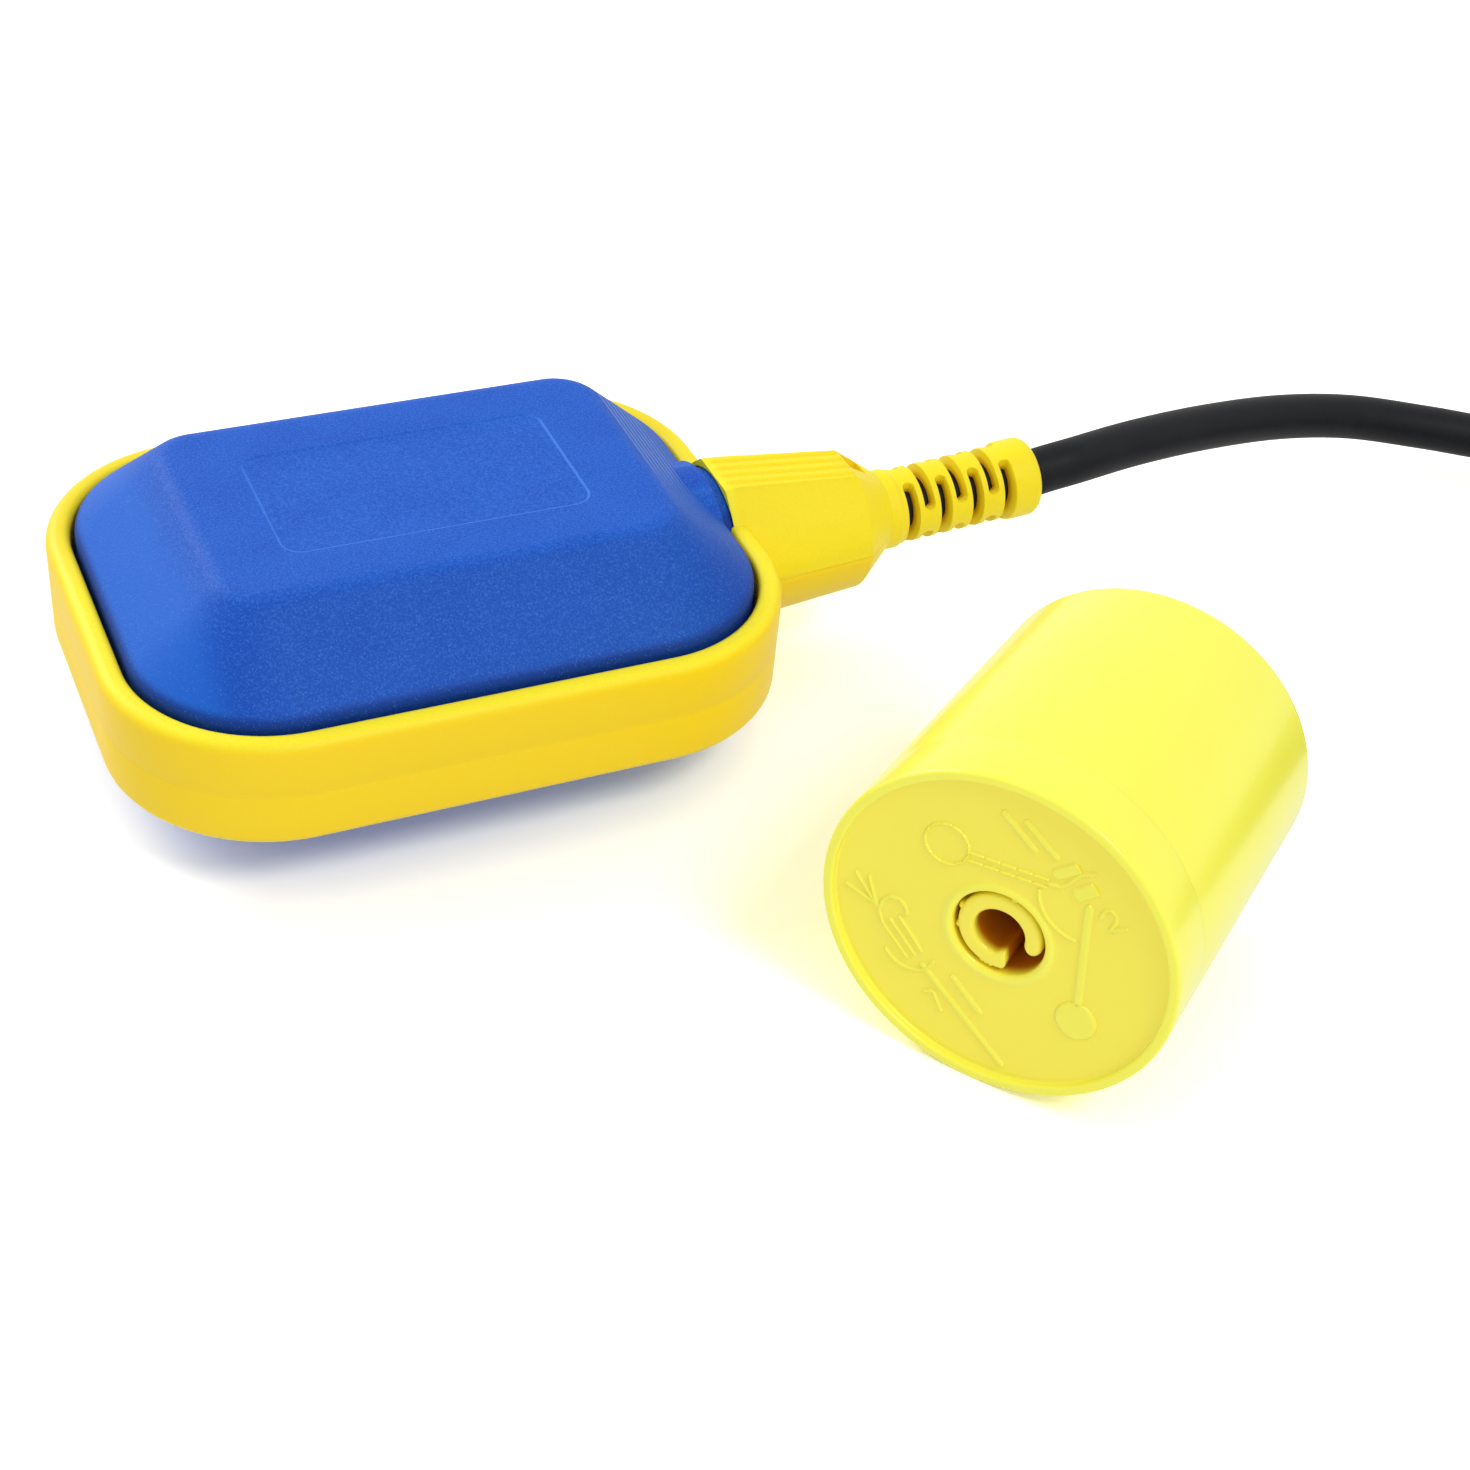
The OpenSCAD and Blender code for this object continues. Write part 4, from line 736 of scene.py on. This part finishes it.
def band_path(d, z, gap, hl, hw, r):
    """Points round the band at each profile point (d mm in from the outer face, z up), from one side of the
    gland's clearance, a circle of radius gap about X, round to its other side: one ring is the profile at one
    place."""
    start = np.sqrt(np.maximum(gap ** 2 - z ** 2, 0.01))[:, None]
    cx, cy, rr = hl - r, hw - r, (r - d)[:, None]
    a, t = np.linspace(0, math.pi / 2, 25), np.linspace(0, 1, 9)
    runs = [np.stack(np.broadcast_arrays(cx + rr, start + (cy - start) * t[:-1]), -1)]
    runs += [polar(rr, a + k * math.pi / 2) + [sx * cx, sy * cy] for k, (sx, sy) in enumerate(CORNERS)]
    runs.append(np.stack(np.broadcast_arrays(cx + rr, -cy + (cy - start) * t[1:]), -1))
    return lifted(np.concatenate(runs, 1), z).transpose(1, 0, 2)


def band_profile(lip):
    """Section of the band: rounded lips, a fine parting line and the pocket for the shells' flange."""
    return soften([(0, -0.2, 0), (0, -BAND_HALF, 1.9), (lip, -BAND_HALF, 1.2), (lip, -3, 0), (1.7, -3, 0),
                   (1.7, 3, 0), (lip, 3, 0), (lip, BAND_HALF, 1.2), (0, BAND_HALF, 1.9), (0, 0.2, 0),
                   (0.06, 0, 0.03)])


def neck_section(r, top, flat, ridge):
    """Outline of the neck for arrays of sizes: a half circle of radius r below, sides that bulge up to a
    flat top of half width flat at height top, and ridges of height ridge along the flat, with narrow
    grooves between them."""
    r, top, flat, ridge = (np.asarray(v, float).reshape(-1, 1) for v in (r, top, flat, ridge))
    a = np.linspace(-math.pi, 0, 97)
    low = polar(r, a)
    hip_y, hip_z = r - 0.35, 2.6
    t = np.linspace(0, 1, 4)[1:]
    side = np.stack(np.broadcast_arrays(r + (hip_y - r) * t, hip_z * t), -1)
    t = np.linspace(0, 1, 19)[1:]
    swell = 0.9 * np.sin(math.pi * t)
    shoulder = np.stack([hip_y + (flat - hip_y) * t + swell * 0.6,
                         hip_z + (top - hip_z) * t + swell * 0.55], -1)
    t = np.linspace(1, -1, 101)[1:-1]
    y = flat * t
    # distance to the nearest groove
    groove = np.abs(np.mod(y + GROOVE_PITCH, GROOVE_PITCH) - GROOVE_PITCH / 2)
    rise = smoothstep(groove, 0.0, 0.55) * smoothstep(np.abs(t), 1.0, 0.95) - 0.3
    crown = np.stack([y, top + ridge * rise], -1)
    mirror = np.array([-1, 1])
    return np.concatenate([low, side, shoulder, crown, shoulder[:, ::-1] * mirror, side[:, ::-1] * mirror], 1)


def eased(rings, rounds):
    """Rounds the outline's corners: each point moves to a quarter of either neighbour and half of itself,
    as often as rounds says."""
    for _ in range(rounds):
        rings = (np.roll(rings, 1, 1) + 2 * rings + np.roll(rings, -1, 1)) / 4
    return rings


def neck_rings(ridge):
    """The neck: a collar over the gland hump, the ridged body that narrows along X, a steep cone to the bend
    relief, and a notch where the ridges end. Below its parting the body is a hair smaller."""
    x = np.concatenate([[50.1, 49.55, 49.45, 49.45, 49.6, 50.2, 51.2, 51.9, 52.3],
                        np.linspace(52.6, 73.2, 43),
                        END_FLAT + np.array([-0.5, -0.3, -0.15, 0, 0.1, 0.2, 0.3, 0.4, 0.7, 1.1, 1.6, 2.1,
                                             2.6, 2.8, 3.0, 3.2, 3.5, 4.0, 4.6, 5.2, 5.8, 6.2, 6.4])])
    c = np.clip((x - NECK_START) / (END_FLAT - NECK_START), 0, 1)
    lip = smoothstep(x, NECK_START + 1, NECK_START)
    r = NECK_R - 2.0 * c
    top = 12.9 - 2.55 * c + 0.2 * lip
    flat = 4.95 - 0.65 * c
    rings = neck_section(r, top, flat, ridge * (1 - lip) * smoothstep(x, END_FLAT, END_FLAT - 0.6))
    around = unit(rings)
    cone = np.clip((x - END_FLAT) / CONE_LONG, 0, 1)[:, None, None]
    rings = eased(rings, 1) * (1 - cone) + around * CONE_R * cone
    rings[:2] = around[:2] * ARCH_R
    rings[3] *= 0.994           # a hair smaller, at the collar's edge
    along, y, z = x[:, None], rings[..., 0], rings[..., 1]
    notch = (1.9 * smoothstep(along, END_FLAT, END_FLAT + 0.3)
             * smoothstep(along, END_FLAT + 3.3, END_FLAT + 2.7)
             * smoothstep(np.abs(y - NOTCH_Y), 2.1, 1.8) * smoothstep(z, 2, 5))
    seam = smoothstep(along, 52.5, 53.5) * (0.14 * smoothstep(z, -0.15, -0.35)
                                            + 0.24 * np.exp(-((z + 0.35) / 0.2) ** 2))
    return along_x(x, rings - np.stack([np.sign(y) * seam, notch], -1)) + [0, 0, MID]


def relief_rings(slot):
    """The bend relief: radius as a function of the distance s along it and the angle round it. Collars at
    both ends, a rounded rim, and slots with round ends that sink to the cable, by turns at front and back
    and at top and bottom."""
    length, rim = 29.9, 1.5
    a = turns(200)
    edge = np.linspace(0.1, math.pi / 2, 9)
    s = np.concatenate([[-0.3], np.linspace(0, length - rim, 240), length - rim + rim * np.sin(edge)])
    r = 6.3 + 0.4 * smoothstep(s, 4.0, 3.0) + 0.42 * smoothstep(s, 22.9, 25.4)
    r[-len(edge):] -= rim * (1 - np.cos(edge))
    r = np.repeat(r[:, None], len(a), 1)
    for k in range(SLOTS):
        across = np.abs(np.cos(a) if k % 2 == 0 else np.sin(a))     # 1 in the slot's middle
        past = np.maximum(np.arccos(np.clip(across, -1, 1)) - math.radians(60), 0) * 6.3
        reach = np.hypot(s[:, None] - SLOT_FIRST - SLOT_PITCH * k, past[None])
        sunk = smoothstep(reach, slot / 2 + 0.12, slot / 2 - 0.12)
        r = r * (1 - sunk) + SLOT_FLOOR * sunk
    base = np.array([NECK_END, 0, MID]) + s[:, None, None] * RELIEF_DIR
    side, up = [0, 1, 0], np.array([-math.sin(LIFT), 0, math.cos(LIFT)])
    return base + r[..., None] * (np.cos(a)[:, None] * side + np.sin(a)[:, None] * up)


class SWITCH_OT_band(bpy.types.Operator):
    """Make the band, its ridged neck and the slotted bend relief"""
    bl_idname = "switch.band"
    bl_label = "Band and Bend Relief"

    def execute(self, context):
        sizes = context.scene.switch_sizes
        half_long, half_wide, corner = sizes.length / MM / 2, sizes.width / MM / 2, sizes.corner / MM
        ring = band_path(*band_profile(sizes.lip / MM).T, LIP_GAP_R, half_long, half_wide, corner)
        skins = [skin(ring + [0, 0, MID]), skin(neck_rings(sizes.ridge / MM))]
        piece("band_and_neck", skins, "float", "yellow_soft", ["band"], 38)
        piece("slotted_relief", [skin(relief_rings(sizes.slot / MM))], "float", "yellow_soft",
              ["bend_relief"], 45)
        return {"FINISHED"}


# ---------------- counterweight

BORE_R, SOCKET_R = 5.0, 6.7
CASE_WALL = 2.2
CASE_EDGE, CAP_EDGE = 9.34, 9.32       # the two sides of the seam round the counterweight
PLUG_END, PLUG_R, PLUG_IN_R = 13.2, 23.5, 21.9
TUBE_R = 8.2


def case_profile(front, rear, taper):
    """Section of the case: the bore, its tube with a small flange that closes the seam behind the clip's
    socket, the end wall and the outer wall; taper is the outer radius lost per mm behind the rim."""
    flange, at_seam = PLUG_END + 0.06, front - CASE_EDGE * taper
    end_wall = WEIGHT_LONG - CASE_WALL
    return soften([(flange, BORE_R, 0.2), (flange, 7.6, 0.1), (14.4, 7.6, 0), (14.4, 6.5, 0),
                   (end_wall, 6.5, 0), (end_wall, rear - CASE_WALL, 0), (CASE_EDGE, at_seam - CASE_WALL, 0),
                   (CASE_EDGE, at_seam, 0.02), (WEIGHT_LONG, rear, 1.3), (WEIGHT_LONG, BORE_R, 0.8)])


def cap_profile(front, face, taper):
    """Section of the front cap: a low rounded lip round the clip's socket, the sunk face, the rim, the
    skirt and the two walls inside; taper is the outer radius lost per mm behind the rim."""
    r = np.linspace(SOCKET_R, 9.6, 30)
    corner = 0.35 * (1 - np.sqrt(1 - np.clip(1 - (r - SOCKET_R) / 0.35, 0, 1) ** 2))
    mouth = np.stack([face + corner - 0.4 * np.exp(-((r - 7.5) / 0.6) ** 2), r], -1)
    back = face + 2.2
    rest = soften([(face, 10, 0), (face, front - 1.6, 0.35), (0, front - 1.6, 0.45), (0, front, 0.55),
                   (CAP_EDGE, front - CAP_EDGE * taper, 0.02), (CAP_EDGE, PLUG_R, 0),
                   (PLUG_END, PLUG_R, 0.3), (PLUG_END, PLUG_IN_R, 0.3), (back, PLUG_IN_R, 0),
                   (back, TUBE_R, 0), (PLUG_END, TUBE_R, 0), (PLUG_END, SOCKET_R, 0.3),
                   (face + 0.5, SOCKET_R, 0)], 7, False)
    return np.vstack([mouth, rest[1:]])


class SWITCH_OT_weight(bpy.types.Operator):
    """Make the counterweight's case and its front cap"""
    bl_idname = "switch.weight"
    bl_label = "Counterweight"

    def execute(self, context):
        sizes = context.scene.switch_weight
        front, rear, face = (d / MM for d in (sizes.front, sizes.rear, sizes.face))
        taper = (front - rear) / WEIGHT_LONG
        for name, profile, node in (("weight_body", case_profile(front, rear, taper), "weight_case"),
                                    ("weight_front", cap_profile(front, face, taper), "weight_cap")):
            piece(name, [skin(lathe(profile, 192), wrap=True)], "counterweight", "lemon_gloss", [node], 50)
        return {"FINISHED"}


def bead(path, width, height, blunt=False):
    """A raised line on the face. Its section has a flat top and flanks that rise smoothly over 0.45 mm; its
    ends narrow in a half circle, or in a short square end if blunt; it is closed a little below the face."""
    path = np.asarray(path, float)
    seg = np.concatenate([[0], np.cumsum(np.linalg.norm(np.diff(path, axis=0), axis=1))])
    half = width / 2
    cap = 0.3 if blunt else half
    turn = np.linspace(0.1, math.pi / 2, 8)
    s = np.concatenate([-cap * np.cos(turn), np.linspace(0, seg[-1], max(2, int(seg[-1] / 0.4) + 2)),
                        seg[-1] + cap * np.cos(turn[::-1])])
    inside = np.clip(s, 0, seg[-1])
    at, before, after = (np.stack([np.interp(inside + d, seg, path[:, k]) for k in (0, 1)], -1)
                         for d in (0, -0.05, 0.05))
    ahead = unit(after - before)
    at = at + (s - inside)[:, None] * ahead
    reach = half * np.sqrt(np.clip(1 - ((s - inside) / cap) ** 2, 0.0004, 1))[:, None]
    t = np.linspace(1, -1, 17)[None]
    out = height * smoothstep(reach * (1 - np.abs(t)), 0, min(0.45, half))
    t, out = np.append(t, [[-1, 1]], 1), np.concatenate([out, np.full((len(s), 2), -0.15)], 1)
    side = np.stack([-ahead[:, 1], ahead[:, 0]], -1)
    flat = at[:, None] + (reach * t)[..., None] * side[:, None]
    return np.concatenate([flat, out[..., None]], -1)


def arc(centre, radius, start, end, n=14):
    """Points of an arc between two angles in degrees."""
    return np.array(centre) + polar(radius, np.radians(np.linspace(start, end, n)))


# the raised marks: points (right, up) on the face and each line's width
LINE, THIN, BOLD = 0.9, 0.6, 1.25
THREADING = [
    ([(-22.5, -2.5), (-18.1, -3.7)], LINE), ([(-21.3, 0.0), (-18.1, -3.5)], LINE),
    ([(-19.4, 0.2), (-17.9, -3.5)], LINE), ([(-17.9, -3.6), (-17.3, -4.2)], LINE),
    ([(-17.3, -4.4), (-16.9, -2.6), (-15.9, -1.5), (-14.5, -1.3), (-13.4, -2.2), (-13.2, -3.2)], LINE),
    ([(-16.5, -6.4), (-12.2, -10.5)], LINE), ([(-15.3, -5.4), (-11.1, -9.5)], LINE),
    ([(-14.0, -4.4), (-10.2, -8.4)], LINE), ([(-17.2, -4.6), (-16.5, -6.4)], THIN),
    (arc((-12.0, -8.6), 3.9, 215, 345), LINE), ([(-9.5, -10.9), (4.2, -22.0)], BOLD),
    ([(-4.9, -10.7), (-0.4, -14.5)], BOLD), ([(-8.6, -15.3), (-7.4, -14.5), (-5.8, -17.3)], LINE)]
SWINGING = [(arc((-9.4, 11.2), 3.2, 30 * k, 30 * k + 21, 4), THIN) for k in range(12)] + [
    ([(-5.9 + 2.3 * k, y + 0.2 * k), (-4.3 + 2.3 * k, y + 0.14 + 0.2 * k)], THIN)
    for k in range(5) for y in (11.35, 10.05)] + [
    ([(-2.4, 19.8), (2.4, 16.2)], BOLD), ([(0.8, 19.8), (5.5, 16.4)], BOLD),
    ([(5.4, 11.8), (6.9, 12.0), (7.9, 13.2), (9.1, 15.2), (10.9, 16.2)], LINE),
    (arc((10.4, 10.6), 6.2, 186, 268), LINE), ([(11.2, 10.4), (12.7, -5.6)], 1.5),
    ([(13.0, 9.9), (13.2, 11.0), (14.1, 11.7), (15.0, 11.2), (15.1, 10.0), (14.5, 8.3), (16.6, 9.7)], LINE)]
BLOCKS = [([(6.0, 13.7), (8.6, 16.0)], 2.0), ([(9.3, 11.8), (11.4, 13.8)], 2.4)]


class SWITCH_OT_marks(bpy.types.Operator):
    """Raise the two numbered pictograms, of threading and of swinging, on the counterweight's face"""
    bl_idname = "switch.marks"
    bl_label = "Face Marks"

    def execute(self, context):
        sizes = context.scene.switch_weight
        height, depth = sizes.mark / MM, sizes.face / MM
        lines = [bead(path, width, height) for path, width in THREADING + SWINGING]
        lines += [bead(path, width, height, True) for path, width in BLOCKS]
        lines.append(bead([(13.0, -8.8), (13.0, -8.75)], 6.2, height))       # the swinging float's disc
        piece("face_marks", [skin(on_face(line, depth)) for line in lines], "counterweight", "lemon_gloss",
              sharp=60)
        return {"FINISHED"}


def clip_rings():
    """The C shaped clip: its rounded section carried round the axis. The upper end narrows in a half circle;
    the lower end is cut on a slant, and its inner side swells before it; three more rings round it off."""
    inner, outer, length, start, sweep = 3.65, 6.15, 9.0, -3.0, 290.0
    half, radius = (outer - inner) / 2, (outer + inner) / 2
    across, out = soften([(-half, -length, 0.2), (half, -length, 0.2), (half, 0, 0.8), (-half, 0, 0.7)], 7).T
    tip = np.linspace(0.1, math.pi / 2, 9)[:-1]
    degrees = np.concatenate([-np.cos(tip) * math.degrees(half / radius), np.linspace(0, sweep, 120),
                              sweep + np.array([1.6, 3.0, 4.0])])
    narrow = np.concatenate([np.sin(tip), np.ones(120), [0.97, 0.88, 0.68]])[:, None]
    slant = smoothstep(degrees, sweep - 30, sweep)[:, None]
    swell = smoothstep(degrees, sweep - 24, sweep - 5)[:, None]
    across = across * narrow
    a = np.radians(start + degrees[:, None] - 6 * slant * across / half)
    r = radius + across * (1 + 0.45 * swell * (across < 0))
    out = out - 0.35 * (1 - narrow) * (out > -1)
    return np.concatenate([polar(r, a), out[..., None]], -1)


def clip_rib(degrees):
    """A short rib between clip and socket: a round bar along the axis with a domed end."""
    out, r = np.array([[-8.5, -0.9, -0.5, -0.35], [0.6, 0.6, 0.42, 0.1]])[..., None]
    return lifted(polar(6.05, math.radians(degrees)) + polar(r, turns(16)), out)


class SWITCH_OT_clip(bpy.types.Operator):
    """Make the C shaped cable clip and the ribs that hold it in its socket"""
    bl_idname = "switch.clip"
    bl_label = "Cable Clip"

    def execute(self, context):
        depth = context.scene.switch_weight.face / MM
        shapes = [clip_rings()] + [clip_rib(d) for d in (80, 165, 196, 254, 260, 266)]
        piece("split_clip", [skin(on_face(shape, depth)) for shape in shapes], "clip", "lemon_gloss",
              ["cable_clip"], 45, "lemon_clip")
        return {"FINISHED"}


# ---------------- carried-over parts and stage

class SWITCH_OT_inner_parts(bpy.types.Operator):
    """Give every part that is carried over from the frame its finish"""
    bl_idname = "switch.inner_parts"
    bl_label = "Inner Parts"

    def execute(self, context):
        slots = {s["node"]: s["material_slot"] for s in frame["record"]["subparts"]}
        for name, obj in frame["nodes"].items():
            obj.data.materials.clear()
            obj.data.materials.append(finish(slots[name]))
        return {"FINISHED"}


def stand(name, data, place, right, up, ahead):
    """Put a camera or a lamp at a place, looking ahead."""
    obj = bpy.data.objects.new(name, data)
    rows = np.stack([right, up, -ahead], 1)
    obj.matrix_world = Matrix([[*row, p] for row, p in zip(rows, place)] + [[0, 0, 0, 1]])
    bpy.context.scene.collection.objects.link(obj)
    return obj


def stage_camera(stage):
    """The camera, from its yaw, its angle down and its roll."""
    yaw, pitch, roll = stage.turn
    ahead = np.array([-math.sin(yaw) * math.cos(pitch), math.cos(yaw) * math.cos(pitch), -math.sin(pitch)])
    right = np.array([math.cos(yaw), math.sin(yaw), 0])
    up = np.cross(right, ahead)
    right, up = (math.cos(roll) * right + math.sin(roll) * up,
                 -math.sin(roll) * right + math.cos(roll) * up)
    data = bpy.data.cameras.new("camera")
    data.lens, data.sensor_width, data.clip_start = stage.lens, 36, 0.01
    bpy.context.scene.camera = stand("camera", data, stage.place, right, up, ahead)


def stage_floor():
    """The floor: grey-white to the light, brighter where it is looked at, plain white where mirrored."""
    floor = Finish("floor", (0.9, 0.9, 0.9), 0.9, **{"Specular IOR Level": 0.0})
    seen, mirrored = floor.rays()
    bright = floor.node("ShaderNodeBsdfDiffuse", {}, Color=(1.5, 1.46, 1.36, 1.0))
    white = floor.node("ShaderNodeEmission", {}, Strength=1.0)
    shown = floor.node("ShaderNodeMixShader", {}, seen, floor.shader.outputs[0], bright.outputs[0])
    mixed = floor.node("ShaderNodeMixShader", {}, mirrored, shown.outputs[0], white.outputs[0])
    floor.feed(floor.output.inputs[0], mixed.outputs[0])
    mesh = bpy.data.meshes.new("floor")
    mesh.from_pydata([(-4, -4, 0), (4, -4, 0), (4, 4, 0), (-4, 4, 0)], [], [(0, 1, 2, 3)])
    mesh.materials.append(floor.material)
    plane = bpy.data.objects.new("floor", mesh)
    bpy.context.scene.collection.objects.link(plane)


def stage_light(stage):
    """An even room, white where it is looked at or mirrored, and two soft round lamps."""
    world = bpy.data.worlds.new("room")
    bpy.context.scene.world = world
    room = Nodes(world)
    seen, mirrored = room.rays()
    even, white = (room.node("ShaderNodeBackground", {}, Color=(1, 1, 1, 1), Strength=strength).outputs[0]
                   for strength in (stage.world, 1.0))
    mixed = room.node("ShaderNodeMixShader", {}, seen.math("MAXIMUM", mirrored), even, white)
    room.node("ShaderNodeOutputWorld", {}, Surface=mixed.outputs[0])
    for name, place, size, power in (("key_lamp", (0.2, -0.6, 0.8), 0.3, stage.key),
                                     ("rim_lamp", (-0.35, 0.7, 0.51), 0.5, stage.key * 1.5)):
        lamp = bpy.data.lights.new(name, "AREA")
        lamp.shape, lamp.size, lamp.energy = "DISK", size, power
        aim = unit(np.array([0.06, -0.04, 0.02]) - place)
        side = unit(np.cross(aim, [0, 0, 1]))
        stand(name, lamp, place, side, np.cross(side, aim), aim)


class SWITCH_OT_stage(bpy.types.Operator):
    """Set up the camera, the white floor and the soft light"""
    bl_idname = "switch.stage"
    bl_label = "Stage"

    def execute(self, context):
        stage_camera(context.scene.switch_stage)
        stage_floor()
        stage_light(context.scene.switch_stage)
        context.scene.view_settings.view_transform = "Standard"
        return {"FINISHED"}


class SWITCH_PT_panel(bpy.types.Panel):
    """Lists the settings and the pieces"""
    bl_idname = "SWITCH_PT_panel"
    bl_label = "Float Switch"
    bl_space_type = "VIEW_3D"
    bl_region_type = "UI"
    bl_category = "Float Switch"

    def draw(self, context):
        for group, kind in GROUPS.items():
            box = self.layout.box()
            box.label(text=kind.__doc__)
            for key in kind.__annotations__:
                box.prop(getattr(context.scene, group), key)
        for operator in OPERATORS:
            self.layout.operator(operator.bl_idname)


OPERATORS = (SWITCH_OT_stage, SWITCH_OT_cable, SWITCH_OT_shells, SWITCH_OT_band, SWITCH_OT_weight,
             SWITCH_OT_marks, SWITCH_OT_clip, SWITCH_OT_inner_parts)


def register():
    for kind in (*GROUPS.values(), *OPERATORS, SWITCH_PT_panel):
        bpy.utils.register_class(kind)
    for group, kind in GROUPS.items():
        setattr(bpy.types.Scene, group, bpy.props.PointerProperty(type=kind))


def unregister():
    for group in GROUPS:
        delattr(bpy.types.Scene, group)
    for kind in reversed((*GROUPS.values(), *OPERATORS, SWITCH_PT_panel)):
        bpy.utils.unregister_class(kind)


def main():
    register()
    for operator in OPERATORS:
        group, name = operator.bl_idname.split(".")
        if getattr(getattr(bpy.ops, group), name)() != {"FINISHED"}:
            raise RuntimeError(operator.bl_idname + " did not finish")


if __name__ == "__main__":
    main()
